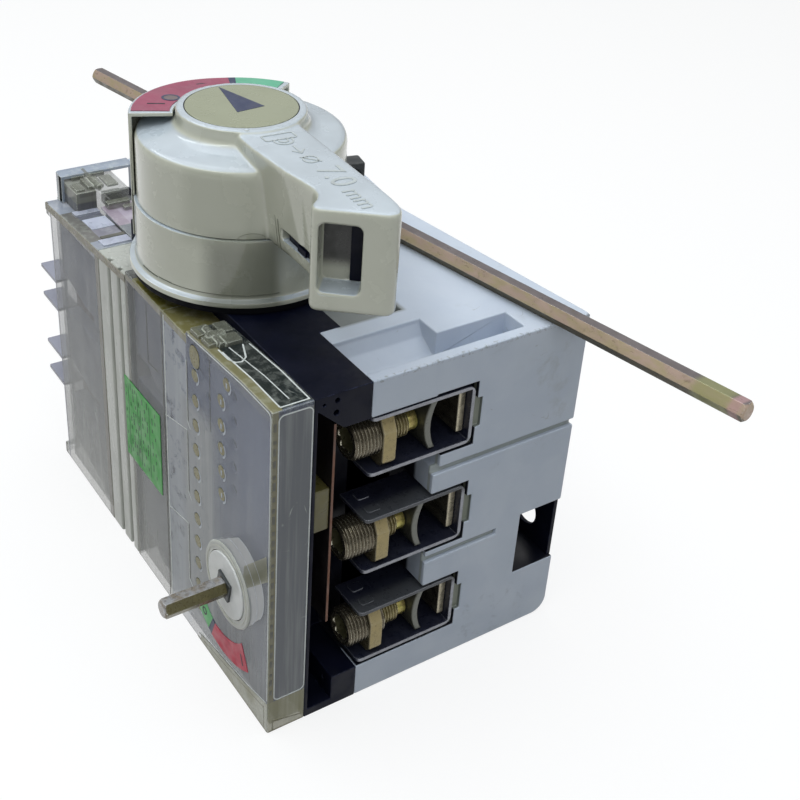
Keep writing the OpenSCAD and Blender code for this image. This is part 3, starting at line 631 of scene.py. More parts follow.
GASKET_FINISH = Finish("gasket_rubber", 0x08090E, 0x0E0F14, 0x28282C, 0x282620, roughness=0.72,
    specular=0.12)
DARK_GREY_FINISH = Finish("dark_grey_plastic", 0x2C3032, 0x3A3E3E, 0x707470, 0x46463C)
CAP_FINISH = Finish("olive_cap", 0x92957A, 0x8A8D72, 0xC4C6B4, 0x70705C, mottle_size=26.0,
    roughness=0.26, rough_spread=0.05, coat=0.3, grain=0.0008)
RELIEF_FINISH = Finish("relief_edge", 0xB8BEBE, 0xAAB0AE, 0xD2D6D4, 0x828682, mottle_size=8.0,
    roughness=0.3, wear_and_glint=0.2)
HOLE_FINISH = Finish("seen_through_hole", 0x706060, 0x5C4E50, 0x968C8C, 0x3C3638)
FAINT_FINISH = Finish("faint_line", 0x8C8E80, 0x828476, 0xAAAC9E, 0x787868)
# The window's floor: cream moulding painted dark as in shade, darkest at the top and lighter towards the
# bottom.
WINDOW_SHADE_FINISH = Finish("window_lining", 0x5C5D56, 0x50514B, 0x96968A, 0x3C3A32, mottle_size=10.0,
    dirt_size=9.0, dirt_share=0.03, roughness=0.35, grain=0.0012,
    zones=(Zone((60.0, -90.0, 258.0), (150.0, -30.0, 290.0), 0x1E1F1C, soft=10.0),
        Zone((60.0, -90.0, 230.0), (150.0, -30.0, 248.0), 0xBABAAC, soft=7.0)))
SHADE_FINISH = Finish("moulding_line", 0x606256, 0x54564C, 0xA0A092, 0x5A5A4C)
SHAFT_CLEAR = ClearFinish("shaft_cover_clear", 0x9AA2B8, 0.34, milk=0.55,
    panes=(Pane((26.5, -92.5, 3.0), (50.5, -91.0, 188.0), 0xC4CAD4, 0.62, 1.0, 0.62),
        Pane((51.0, -92.5, 22.0), (74.0, -91.0, 150.0), 0xB8BBBE, 0.6, 12.0, 0.7),
        Pane((24.0, -92.5, 188.6), (52.0, -91.0, 193.4), 0x8C8666, 0.8),
        Pane((24.0, -91.4, 191.6), (51.6, -60.0, 193.4), 0x847E4E, 0.85),
        Pane((51.6, -86.2, 193.6), (136.4, -69.0, 200.6), 0x282E2E, 0.92),
        Pane((51.6, -91.3, 193.6), (137.0, -86.2, 200.6), 0x86815E, 0.88),
        Pane((136.9, -88.4, 21.6), (138.2, -69.0, 197.6), 0x6A6E74, 0.86),
        Pane((136.9, -92.5, -1.0), (138.2, -88.4, 200.6), 0x7A7558, 0.92),
        Pane((136.9, -92.5, -1.0), (138.2, -69.0, 21.4), 0x94906C, 0.8)))
FUSE_CLEAR = ClearFinish("fuse_cover_clear", 0x92949A, 0.3, milk=0.6,
    panes=(Pane((-22.0, -92.5, 188.4), (25.0, -91.0, 193.4), 0x787258, 0.85),
        Pane((-22.0, -91.4, 191.4), (25.0, -60.0, 193.4), 0x767032, 0.9),
        Pane((-22.0, -91.4, 191.4), (-12.0, -60.0, 193.4), 0x464846, 0.9),
        Pane((-22.0, -92.5, 0.0), (-18.6, -91.0, 188.4), 0x6C685C, 0.7)))
END_CLEAR = ClearFinish("end_cover_clear", 0x9C9EA6, 0.3, milk=0.8,
    panes=(Pane((-138.0, -91.4, 180.0), (-57.0, -69.0, 190.6), 0xA4AAB8, 0.85),
        Pane((-114.0, -91.4, 180.0), (-69.0, -84.2, 190.6), 0x74726E, 0.92, 0.6),
        Pane((-105.4, -84.2, 180.0), (-99.4, -69.0, 190.6), 0x70727C, 0.92),
        Pane((-84.0, -84.2, 180.0), (-73.0, -69.0, 190.6), 0x8E8C98, 0.92),
        Pane((-138.0, -92.5, 0.0), (-133.6, -91.0, 184.0), 0x605F58, 0.85),
        Pane((-130.6, -92.5, 0.0), (-128.8, -91.0, 180.0), 0x525870, 0.8),
        Pane((-63.0, -92.5, 0.0), (-58.0, -91.0, 186.0), 0x686250, 0.85)))
SHROUD_CLEAR = ClearFinish("shroud_clear", 0xA4B0C2, 0.72, streak=0.8)
GUARD_CLEAR = ClearFinish("guard_clear", 0x969896, 0.4,
    panes=(Pane((-104.6, -71.0, 187.6), (-61.0, -40.0, 189.4), 0xA698A6, 0.92),
        Pane((-104.6, -63.0, 187.6), (-61.0, -56.0, 189.4), 0xB4A8B8, 0.92),
        Pane((-78.0, -71.0, 187.6), (-61.0, -40.0, 189.4), 0x787C84, 0.92)))
HINGE_CLEAR = ClearFinish("hinge_clear", 0x8E8F84, 0.72, rim=0xD6DACC, rim_width=1.1,
    panes=(Pane((-137.0, -83.0, 183.0), (-110.0, -69.0, 189.5), 0x606062, 0.94, 1.4),
        Pane((-124.0, -80.0, 194.0), (-110.0, -69.0, 197.0), 0x707068, 0.9, 1.0)))
LEDGE_FINISH = Finish("pale_ledge", 0xC0C4D4, 0xA8ACBE, 0xDEE2EA, 0x828286, mottle_size=12.0,
    mottle_share=0.9, roughness=0.32, wear_and_glint=0.6)
BARRIER_CLEAR = ClearFinish("barrier_clear", 0xA8AABC, 0.8, rim=0x787066, streak=0.2)
MILKY_CLEAR = ClearFinish("boss_side_clear", 0xC4C6CA, 0.8, streak=0.2, rim=0xCED0C4)
WEB_CLEAR = ClearFinish("boss_web_clear", 0xACAC98, 0.66, streak=0.4, rim=0xCECEB4)
BOSS_CLEAR = ClearFinish("boss_clear", 0xD0D2CC, 0.82, rim=0xE2E2D0)
LUMP_CLEAR = ClearFinish("lump_clear", 0x808274, 0.5, rim=0xDCE0D2, rim_width=1.2, roughness=0.1)
# Painted highlights on the clear covers' edges.
LINE_FINISH = Finish("bright_line", 0xDEE2E0, 0xCED2CE, 0xF0F0F0, 0xA0A096, mottle_size=9.0,
    roughness=0.3, wear_and_glint=0.2)
GLINT_FINISH = Finish("soft_glint", 0xB8BEC8, 0xAAB0BC, 0xC8CCD0, 0x969696, mottle_size=5.0,
    roughness=0.3, wear_and_glint=0.0)
GAP_FINISH = Finish("dark_line", 0x585850, 0x68665C, 0x969488, 0x3C3C34, mottle_size=6.0)
BAND_FINISH = Finish("olive_band", 0x807A60, 0x686050, 0xB0AC96, 0x5A5442, mottle_size=7.0,
    mottle_share=0.9, roughness=0.3, wear_and_glint=0.6)
FOOT_FINISH = Finish("cover_foot", 0xBCBDAE, 0x9E9C82, 0xD6D8CC, 0x78765C, mottle_size=16.0,
    mottle_share=0.9, roughness=0.3)
FOLD_FINISH = Finish("foot_fold", 0x706C54, 0x8C8870, 0xC4C4B0, 0x504C38, mottle_size=5.0,
    mottle_share=0.9, roughness=0.3)
BACKING_FINISH = Finish("behind_panels", 0x62504A, 0x544A4A, 0x8C8682, 0x504C4C, mottle_size=30.0,
    mottle_share=0.9)
PROBE_FINISH = Finish("probe_disc", 0x807742, 0x625C30, 0xBEB88C, 0x4E482A, mottle_size=2.2,
    mottle_share=0.8, roughness=0.35)
LABEL_INK = Finish("label_ink", 0x285C32, 0x22502C, 0x508254, 0x1E3C22, grain=0.005)
INK_FINISH = Finish("dark_ink", 0x161822, 0x22242E, 0x3C3E46, 0x141416, grain=0.005)


class Solid:
    """A mesh being modelled, in millimetres."""

    def __init__(self) -> None:
        """Starts empty."""
        self.bm = bmesh.new()

    @classmethod
    def of_node(cls, node: str) -> "Solid":
        """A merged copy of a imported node, with its flat faces whole again."""
        made = cls()
        made.bm.from_mesh(bpy.data.objects[node].data)
        bmesh.ops.scale(made.bm, vec=(PER_METRE,) * 3, verts=made.bm.verts)
        bmesh.ops.remove_doubles(made.bm, verts=made.bm.verts, dist=0.004)
        bmesh.ops.dissolve_limit(made.bm, angle_limit=math.radians(0.5), verts=made.bm.verts,
            edges=made.bm.edges)
        return made

    @classmethod
    def box(cls, low: Spot, high: Spot) -> "Solid":
        """A block between two corners."""
        made = cls()
        bmesh.ops.create_cube(made.bm, size=1.0)
        size = Vector(high) - Vector(low)
        bmesh.ops.scale(made.bm, vec=size, verts=made.bm.verts)
        bmesh.ops.translate(made.bm, vec=(Vector(low) + Vector(high)) / 2, verts=made.bm.verts)
        return made

    @classmethod
    def prism(cls, outline: Iterable[Point], height: float) -> "Solid":
        """An outline in XY, raised along +Z."""
        made = cls()
        corners = [made.bm.verts.new((x, y, 0.0)) for x, y in outline]
        made.bm.faces.new(corners)
        raised = bmesh.ops.extrude_face_region(made.bm, geom=made.bm.faces[:])
        top = [part for part in raised["geom"] if isinstance(part, bmesh.types.BMVert)]
        bmesh.ops.translate(made.bm, vec=(0.0, 0.0, height), verts=top)
        bmesh.ops.recalc_face_normals(made.bm, faces=made.bm.faces)
        return made

    @classmethod
    def lathe(cls, profile: Iterable[Point], steps: int = 64) -> "Solid":
        """A profile of (radius, height) spun about Z."""
        made = cls()
        points = [made.bm.verts.new((radius, 0.0, height)) for radius, height in profile]
        lines = [made.bm.edges.new(pair) for pair in zip(points, points[1:])]
        bmesh.ops.spin(made.bm, geom=points + lines, axis=(0.0, 0.0, 1.0), cent=(0.0, 0.0, 0.0),
            angle=2 * math.pi, steps=steps, use_merge=True)
        bmesh.ops.remove_doubles(made.bm, verts=made.bm.verts, dist=0.0005)
        bmesh.ops.recalc_face_normals(made.bm, faces=made.bm.faces)
        return made

    @classmethod
    def rod(cls, radius: float, low: float, high: float, steps: int) -> "Solid":
        """A round rod or disc about Z."""
        return cls.lathe([(0.0, low), (radius, low), (radius, high), (0.0, high)], steps)

    @classmethod
    def washer(cls, inner: float, outer: float, height: float, steps: int) -> "Solid":
        """A flat ring about Z."""
        return cls.lathe([(inner, 0.0), (outer, 0.0), (outer, height), (inner, height),
                (inner, 0.0)], steps)

    @classmethod
    def boxes(cls, edge: float, *spans: tuple[Spot, Spot]) -> "Solid":
        """Several blocks with rounded edges."""
        return cls().add(*(cls.box(low, high).bevel(edge) for low, high in spans))

    @classmethod
    def strips(cls, height: float, *lines: tuple[Sequence[Point], float]) -> "Solid":
        """Several low strips, each a path with its width."""
        return cls().add(*(cls.strip(path, width, height) for path, width in lines))

    @classmethod
    def loft(cls, rings: Sequence[Sequence[Spot]]) -> "Solid":
        """A closed solid through rings of equally many points."""
        made = cls()
        rows = [[made.bm.verts.new(spot) for spot in ring] for ring in rings]
        count = len(rows[0])
        for low, high in zip(rows, rows[1:]):
            for k in range(count):
                made.bm.faces.new((low[k], low[(k + 1) % count], high[(k + 1) % count], high[k]))
        made.bm.faces.new(rows[0])
        made.bm.faces.new(rows[-1])
        bmesh.ops.recalc_face_normals(made.bm, faces=made.bm.faces)
        return made

    @classmethod
    def mouth(cls, low: Point, high: Point, corner: float, depth: float, edge: float,
            back: float = 1.5) -> "Solid":
        """A tool for a blind window in XY that goes down from Z = 0, with a rounded mouth and back edge.

        Args:
            low, high: the window's corners.
            corner: the radius of its corners.
            depth: how deep it goes.
            edge: the radius of the mouth's edge.
            back: the radius where its walls meet its back.
        Returns:
            The tool.
        """
        steps = [(-4.0, edge), *((edge * t, edge * (1 - math.sqrt(1 - (1 - t) ** 2)))
                for t in (0.0, 0.25, 0.5, 0.75, 1.0)),
            *((depth - back * (1 - t), back * (math.sqrt(1 - t ** 2) - 1))
                for t in (0.0, 0.4, 0.7, 0.9))]
        return cls.loft([[(x, y, -deep) for x, y in rounded_box((low[0] - out, low[1] - out),
                    (high[0] + out, high[1] + out), max(0.2, corner + out))] for deep,
                out in steps])

    @classmethod
    def strip(cls, path: Sequence[Point], width: float, height: float,
            closed: bool = False) -> "Solid":
        """A low strip that follows a path in XY, raised along +Z.

        Args:
            path: the points along its middle.
            width, height: its section.
            closed: whether the last point joins the first.
        Returns:
            The strip.
        """
        made = cls()
        spots = [Vector(point) for point in path]
        count = len(spots)
        rails = []
        for index, spot in enumerate(spots):
            before = spots[index - 1] if closed or index else spot
            after = spots[(index + 1) % count] if closed or index < count - 1 else spot
            first = (spot - before).normalized() if before != spot else (after - spot).normalized()
            second = (after - spot).normalized() if after != spot else first
            along = (first + second).normalized() if (first + second).length > 1e-6 else second
            reach = 0.5 * width / max(0.4, along.dot(second))
            side = Vector((-along.y, along.x)) * reach
            rails.append([made.bm.verts.new((*(spot + sign * side), z)) for sign,
                    z in ((-1, 0.0), (1, 0.0), (1, height), (-1, height))])
        pairs = list(zip(rails, rails[1:] + rails[:1] if closed else rails[1:]))
        for here, there in pairs:
            for k in range(4):
                made.bm.faces.new((here[k], here[(k + 1) % 4], there[(k + 1) % 4], there[k]))
        if not closed:
            made.bm.faces.new(rails[0])
            made.bm.faces.new(rails[-1])
        bmesh.ops.recalc_face_normals(made.bm, faces=made.bm.faces)
        return made

    @classmethod
    def lettering(cls, text: str, size: float, height: float) -> "Solid":
        """Plain characters in XY, centred, raised along +Z."""
        curve = bpy.data.curves.new("letters", "FONT")
        curve.body, curve.size, curve.extrude = text, size, height / 2
        curve.align_x, curve.align_y = "CENTER", "CENTER"
        shown = bpy.data.objects.new("letters", curve)
        bpy.context.scene.collection.objects.link(shown)
        bpy.context.view_layer.update()
        mesh = bpy.data.meshes.new_from_object(shown.evaluated_get(
                bpy.context.evaluated_depsgraph_get()))
        made = cls()
        made.bm.from_mesh(mesh)
        bmesh.ops.remove_doubles(made.bm, verts=made.bm.verts, dist=0.001)
        bmesh.ops.translate(made.bm, vec=(0.0, 0.0, height / 2), verts=made.bm.verts)
        bpy.data.objects.remove(shown)
        bpy.data.curves.remove(curve)
        bpy.data.meshes.remove(mesh)
        return made

    def place(self, matrix: Matrix) -> "Solid":
        """Moves or turns the whole mesh; a mirror keeps its faces outward."""
        bmesh.ops.transform(self.bm, matrix=matrix, verts=self.bm.verts)
        if matrix.determinant() < 0:
            bmesh.ops.reverse_faces(self.bm, faces=self.bm.faces)
        return self

    def add(self, *others: "Solid") -> "Solid":
        """Takes other solids into this mesh."""
        for other in others:
            mesh = bpy.data.meshes.new("part")
            other.bm.to_mesh(mesh)
            other.bm.free()
            self.bm.from_mesh(mesh)
            bpy.data.meshes.remove(mesh)
        return self

    def copy(self) -> "Solid":
        """The same mesh again."""
        made = Solid()
        made.bm.free()
        made.bm = self.bm.copy()
        return made

    def bevel(self, width: float, segments: int = 2, angle: float = 25.0,
            where: Optional[Callable[[bmesh.types.BMEdge], bool]] = None) -> "Solid":
        """Rounds the edges that turn by more than an angle.

        Args:
            width: the bevel's width.
            segments: its faces across.
            angle: the least turn, degrees.
            where: keeps only the edges for which it is true.
        Returns:
            This solid.
        """
        edges = [edge for edge in self.bm.edges if len(edge.link_faces) == 2
            and edge.calc_face_angle(0.0) > math.radians(angle) and (where is None or where(edge))]
        bmesh.ops.bevel(self.bm, geom=edges, offset=width, offset_type="OFFSET", segments=segments,
            profile=0.5, affect="EDGES", clamp_overlap=False, material=-1)
        return self

    def shaped(self, *modifiers: tuple[str, dict[str, object]]) -> "Solid":
        """Runs modifiers over the mesh and takes their result."""
        mesh = bpy.data.meshes.new("work")
        self.bm.to_mesh(mesh)
        work = bpy.data.objects.new("work", mesh)
        bpy.context.scene.collection.objects.link(work)
        for kind, settings in modifiers:
            made = work.modifiers.new(kind.lower(), kind)
            for key, value in settings.items():
                setattr(made, key, value)
        bpy.context.view_layer.update()
        result = bpy.data.meshes.new_from_object(work.evaluated_get(
                bpy.context.evaluated_depsgraph_get()))
        self.bm.clear()
        self.bm.from_mesh(result)
        for data in (result, mesh):
            if data is mesh:
                bpy.data.objects.remove(work)
            bpy.data.meshes.remove(data)
        return self

    def as_tool(self, name: str) -> bpy.types.Object:
        """A hidden object of this mesh for a cut; the caller removes it."""
        mesh = bpy.data.meshes.new(name)
        self.bm.to_mesh(mesh)
        tool = bpy.data.objects.new(name, mesh)
        bpy.context.scene.collection.objects.link(tool)
        return tool

    def cut(self, *tools: "Solid") -> "Solid":
        """Takes closed solids away from this one."""
        made = [tool.as_tool("tool") for tool in tools]
        self.shaped(*[("BOOLEAN", {"operation": "DIFFERENCE", "object": tool, "solver": "EXACT"})
                for tool in made])
        for tool in made:
            bpy.data.objects.remove(tool)
        return self

    def piece(self, name: str, body: str, slot: str, finish: AnyFinish,
            replaces: Sequence[str] = (), smooth: float = 40.0) -> bpy.types.Object:
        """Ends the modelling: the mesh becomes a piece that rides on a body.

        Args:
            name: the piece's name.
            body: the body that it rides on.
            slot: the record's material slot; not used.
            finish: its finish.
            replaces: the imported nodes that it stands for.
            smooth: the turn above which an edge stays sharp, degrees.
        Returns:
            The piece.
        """
        bmesh.ops.scale(self.bm, vec=(MM,) * 3, verts=self.bm.verts)
        mesh = bpy.data.meshes.new(name)
        self.bm.to_mesh(mesh)
        self.bm.free()
        made = bpy.data.objects.new(name, mesh)
        bpy.context.scene.collection.objects.link(made)
        mesh.materials.clear()
        mesh.materials.append(Paint.of(finish))
        for face in mesh.polygons:
            face.material_index = 0
        mesh.shade_smooth()
        mesh.set_sharp_from_angle(angle=math.radians(smooth))
        weighted = made.modifiers.new("even shading", "WEIGHTED_NORMAL")
        weighted.keep_sharp = True
        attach(made, body)
        if replaces:
            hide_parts(*replaces)
        LOG.info("%s: %d faces on %s", name, len(mesh.polygons), body)
        return made


def upright(edge: bmesh.types.BMEdge) -> bool:
    """Whether an edge rises by more than a millimetre."""
    return abs(edge.verts[0].co.z - edge.verts[1].co.z) > 1.0


@dataclass
class Assembly:
    """Pieces that are made and dressed together."""

    body: str = "switch"

    def bevelled(self, node: str, slot: str, finish: AnyFinish, width: float = 0.5,
            segments: int = 2, angle: float = 25.0) -> bpy.types.Object:
        """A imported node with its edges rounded, standing for the node."""
        return self.show(Solid.of_node(node).bevel(width, segments, angle), node, slot, finish)

    def show(self, solid: Solid, node: str, slot: str, finish: AnyFinish,
            smooth: float = 40.0) -> bpy.types.Object:
        """A modelled solid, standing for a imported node."""
        return solid.piece(node + "_shown", self.body, slot, finish, [node], smooth)


@dataclass
class Housing(Assembly):
    """The white housing, the dark chamber and what lies in them."""

    edge: float = 0.8
    keyhole: Spot = (112.5, 87.0, 58.0)
    keyhole_r: float = 9.5

    def build(self) -> None:
        """Makes every piece."""
        shell = Solid.of_node("base_housing")
        # Straightens the front of the walls between the poles
        shell.cut(*(Solid.box((-38.5 + side * 100.0, -25.0, 21.0),
                    (38.5 + side * 100.0, 0.2, 179.4)) for side in (-1, 1)))
        self.show(shell.bevel(self.edge), "base_housing", "housing", HOUSING_FINISH)
        plates = Solid.of_node("mounting_plates")
        x, y, z = self.keyhole
        plates.cut(*(Solid.rod(self.keyhole_r, 0.0, 6.0, 48).place(moved(side * x, y, z) @ ALONG_Y)
                for side in (-1, 1)))
        self.show(plates.bevel(0.4), "mounting_plates", "dark_moulding", NAVY_FINISH)
        self.bevelled("arc_chamber", "dark_moulding", NAVY_FINISH, 0.5)
        self.bevelled("insulating_sheet", "brown_sheet", BROWN_FINISH, 0.3)
        self.bevelled("interlock_slide", "amber_plastic", AMBER_FINISH, 0.8)


@dataclass
class Covers(Assembly):
    """The clear covers, the panels behind them, the rib, shroud, barriers and labels."""

    front: float = -91.5
    end: float = END
    plate_deeper: float = 3.4
    ticks: int = 26
    tick_pitch: float = 6.5
    hub: Point = (95.0, 68.0)
    probes: tuple[Point, ...] = (*((60.3, 174.6 - 14.9 * k) for k in range(11)),
        *((88.0, 176.6 - 13.9 * k) for k in range(5)), (93.9, 189.2))


    def at_end(self, solid: Solid) -> Solid:
        """Lays a solid drawn in XY on the near end of the covers."""
        return solid.place(moved(self.end, 0.0, 0.0) @ ON_NEAR_END)

    def on_front(self, solid: Solid, deep: float = 0.0) -> Solid:
        """Lays a solid drawn in XY on the front of the covers, or that deep behind it."""
        return solid.place(moved(0.0, self.front + deep, 0.0) @ ON_FRONT)

    @staticmethod
    def on_top(solid: Solid) -> Solid:
        """Lays a solid drawn in XY on the upper side of the shaft cover, which slopes as far as a bend."""
        low, rise, start, bend = 195.5, 4.5, 51.5, 110.0
        for vert in solid.bm.verts:
            vert.co.z += low + min(max(vert.co.x - start, 0.0) * rise / (bend - start), rise)
        return solid

    def build(self) -> None:
        """Makes every piece."""
        for node, finish in (("shaft_cover", SHAFT_CLEAR), ("fuse_cover", FUSE_CLEAR),
                ("end_cover", END_CLEAR), ("terminal_guard", GUARD_CLEAR)):
            self.bevelled(node, "clear_cover", finish, 0.7)
        self.far_side()
        plate = Solid.of_node("shaft_plate").place(moved(0.0, self.plate_deeper, 0.0)).bevel(0.3)
        self.show(plate, "shaft_plate", "grey_plate", PLATE_FINISH)
        self.bevelled("fuse_carriers", "grey_plate", GREY_FINISH, 1.0)
        self.bevelled("fuse_doors", "grey_plate", GREY_FINISH, 1.0)
        self.bevelled("centre_rib", "cream_moulding", RIB_FINISH, 1.2, 3)
        backing = Solid.box((-18.6, -80.0, 3.0), (21.6, -79.0, 189.8))
        backing.add(Solid.box((-128.0, -80.0, 4.0), (-61.0, -79.0, 179.0)))
        backing.piece("panel_backing", self.body, "grey_plate", BACKING_FINISH)
        self.lines()
        self.foot()
        self.probe_discs()
        self.boss()
        self.clutter()
        self.labels()

    def far_side(self) -> None:
        """The shroud, the barriers, the hinge block's front part and the end cover's pale ledges."""
        shroud = Solid.of_node("terminal_shroud")
        shroud.bevel(2.6, 4, 60.0, lambda edge: upright(edge)
            and all(abs(v.co.y + 84.0) < 0.1 and v.co.x < -138.0 for v in edge.verts))
        shroud.bevel(0.4, 2, 35.0)
        self.show(shroud, "terminal_shroud", "clear_cover", SHROUD_CLEAR)
        tabs = Solid.of_node("phase_barriers")
        for vert in tabs.bm.verts:
            vert.co.y = -78.4 if vert.co.y > -87.0 else -91.2
            vert.co.z += -1.2 if vert.co.z > 100.0 else 3.6
        tabs.bevel(1.2, 3, 60.0, lambda edge: upright(edge)
            and all(v.co.x < -156.0 for v in edge.verts))
        self.show(tabs, "phase_barriers", "clear_cover", BARRIER_CLEAR)
        block = Solid.boxes(0.8, ((-136.6, -82.2, 183.6), (-110.6, -69.8, 196.6)))
        block.piece("hinge_front", self.body, "clear_cover", HINGE_CLEAR)
        ledges = Solid.boxes(0.3, ((-111.8, -85.2, -0.4), (-105.6, -70.2, 1.3)),
            ((-68.4, -87.0, -0.4), (-60.0, -70.2, 0.7)),
            ((-99.4, -84.0, -0.4), (-84.0, -70.2, 0.5)))
        self.on_lid(ledges).piece("lid_ledges", self.body, "clear_cover", LEDGE_FINISH)

    @staticmethod
    def on_lid(solid: Solid) -> Solid:
        """Lays a solid on the sloping upper side of the end cover."""
        low, slope = 182.5, 0.068
        for vert in solid.bm.verts:
            vert.co.z += low + (vert.co.x + END) * slope
        return solid

    def lines(self) -> None:
        """Painted highlights along the covers' edges, dark moulded lines and the olive band of the covers.
        """
        corner = arc((133.6, 195.6), 3.0, 90, 0, 6)
        # Painted highlights along the covers' edges and ribs.
        bright = self.on_front(Solid.strips(0.14, (
                    [(54.0, 194.6), (110.0, 198.6), *corner, (136.6, 23.0)], 0.7),
                ([(26.0, 191.0), (26.0, 3.0)], 0.9), (
                    [(24.8, 130.0), (50.6, 136.4), (50.6, 97.0), (54.0, 93.5)], 0.4),
                ([(51.4, 179.0), (51.4, 142.4), (54.4, 139.0)], 0.4),
                ([(24.8, 69.8), (49.4, 75.0), (49.4, 36.0), (53.0, 32.5)], 0.4),
                ([(60.0, 5.6), (74.0, 9.0), (114.0, 15.4), (135.6, 20.6)], 0.6)))
        dark = self.on_front(Solid.strips(0.12, ([(23.0, 191.0), (23.0, 3.0)], 0.7),
                ([(77.0, 193.0), (77.0, 152.0)], 0.45), ([(52.2, 178.6), (52.2, 142.8)], 0.5),
                ([(51.4, 135.6), (51.4, 97.6)], 0.5), ([(50.2, 74.6), (50.2, 36.4)], 0.5),
                ([(5.0, 186.0), (5.0, 151.4), (17.5, 151.8)], 0.5),
                ([(60.0, 4.6), (74.0, 8.0), (114.0, 14.4)], 0.4)))
        bright.add(self.at_end(Solid.strip(rounded_box((-88.1, 22.2), (-70.8, 197.2), 2.8), 0.6,
                    0.16, True)))
        ticks = Solid()
        for k in range(self.ticks):
            z = 27.0 + k * self.tick_pitch
            ticks.add(Solid.box((-90.8, z, 0.0), (-89.3, z + 3.2 + 1.4 * math.sin(k * 2.3), 0.1)))
        dark.add(self.at_end(ticks))
        bright.add(self.on_top(Solid.strips(0.2, ([(77.4, -81.6), (109.9, -80.3), (131.0, -79.6)],
                    0.5), ([(77.0, -86.9), (87.6, -87.2), (92.0, -85.8), (93.0, -82.8),
                    (90.0, -79.2), (78.0, -74.5)], 0.8),
                    ([(80.0, -86.4), (109.9, -86.4), (134.8, -86.4)], 0.7),
                    ([(79.0, -71.6), (109.9, -71.6), (135.2, -71.6), (135.2, -86.4)], 0.7))))
        bright.piece("cover_bright_lines", self.body, "clear_cover", LINE_FINISH)
        dark.add(Solid.box((-72.6, -84.0, 187.1), (-69.6, -60.0, 187.5)))
        dark.piece("cover_dark_lines", self.body, "clear_cover", GAP_FINISH)
        band = Solid.prism([(-137.4, 177.6), (-21.6, 185.6), (-21.6, 190.0), (-137.4, 182.2)], 0.2)
        self.on_front(band).piece("cover_top_band", self.body, "clear_cover", BAND_FINISH)

    def foot(self) -> None:
        """The pale foot of the shaft cover, with its folds on the front and the near end."""
        foot = Solid.prism([(62.0, 0.6), (137.0, 0.6), (137.0, 20.4), (114.0, 14.2), (74.0, 7.8),
                (62.0, 5.0)], 0.1)
        folds = self.on_front(Solid.strips(0.16, ([(66.0, 3.4), (102.0, 9.4), (133.4, 15.6)], 0.5),
                ([(58.0, 1.0), (136.6, 1.0)], 0.7), ([(133.6, 1.4), (133.6, 17.0)], 0.5)))
        folds.add(self.at_end(Solid.strips(0.14, ([(-88.4, 7.6), (-72.0, 4.2)], 0.5),
                    ([(-88.6, 1.2), (-88.6, 8.0)], 0.6), ([(-90.6, 1.0), (-70.6, 1.0)], 0.6))))
        folds.piece("foot_folds", self.body, "clear_cover", FOLD_FINISH)
        self.on_front(foot).piece("cover_foot", self.body, "clear_cover", FOOT_FINISH)

    def probe_discs(self) -> None:
        """Discs in the probe holes, each with a pale glint beside it."""
        discs, glints = Solid(), Solid()
        for x, z in self.probes:
            discs.add(self.on_front(Solid.rod(3.3, 0.0, 0.3, 24).place(moved(x, z, 0)), 0.4))
            glints.add(self.on_front(Solid.strip(arc((x, z), 4.5, -60, 50, 8), 1.0, 0.05)))
            if x > 80:
                glints.add(self.on_front(Solid.box((x - 0.4, z - 1.8, 0.0),
                            (x + 0.9, z + 0.9, 0.15)), 0.1))
        wide = Solid.prism(rounded_box((55.2, 179.4), (65.4, 191.4), 5.0, 8), 0.3)
        discs.add(self.on_front(wide, 0.4))
        discs.piece("probe_discs", self.body, "amber_plastic", PROBE_FINISH)
        glints.piece("probe_glints", self.body, "clear_cover", GLINT_FINISH)

    def boss(self) -> None:
        """The frosted tube round the rotor and the clear bar that leads away from it."""
        x, z = self.hub
        tube = Solid.lathe([(19.0, 0.0), (23.2, 0.0), (23.9, 0.6), (23.9, 9.4), (19.0, 9.4),
                (19.0, 0.0)], 96)
        tube.place(moved(x, -92.7, z) @ ALONG_Y)
        groove = Solid.washer(21.0, 21.5, 0.3, 96)
        tube.add(groove.place(moved(x, -92.9, z) @ ALONG_Y))
        tube.piece("boss_shown", self.body, "clear_cover", BOSS_CLEAR)
        side = arc((x, z), 24.0, 118, -42, 20)
        back = [(point[0] + 15.0, point[1] + 17.0)
            for point in reversed(arc((x, z), 22.5, 100, -38, 18))]
        milky = self.on_front(Solid.prism([*side, *back], 0.06))
        milky.piece("boss_side", self.body, "clear_cover", MILKY_CLEAR)
        rings = self.on_front(Solid.strip(arc((x + 7.5, z + 8.5), 23.2, 108, -40, 20), 0.5, 0.1))
        rings.add(self.on_front(Solid.strip(arc((x + 14.6, z + 16.4), 22.6, 98, -36, 18), 0.4,
                    0.1)))
        rings.piece("boss_glints", self.body, "clear_cover", GLINT_FINISH)
        web = self.on_front(Solid.prism([(109.6, 76.0), (135.6, 101.6), (134.0, 116.0),
                    (112.0, 93.4)], 0.09))
        web.piece("boss_web", self.body, "clear_cover", WEB_CLEAR)
        bar = Solid.box((x + 19.5, -91.0, z - 5.0), (x + 24.6, -84.2, z + 8.0))
        bar.bevel(0.6).piece("boss_bar", self.body, "clear_cover", LUMP_CLEAR)

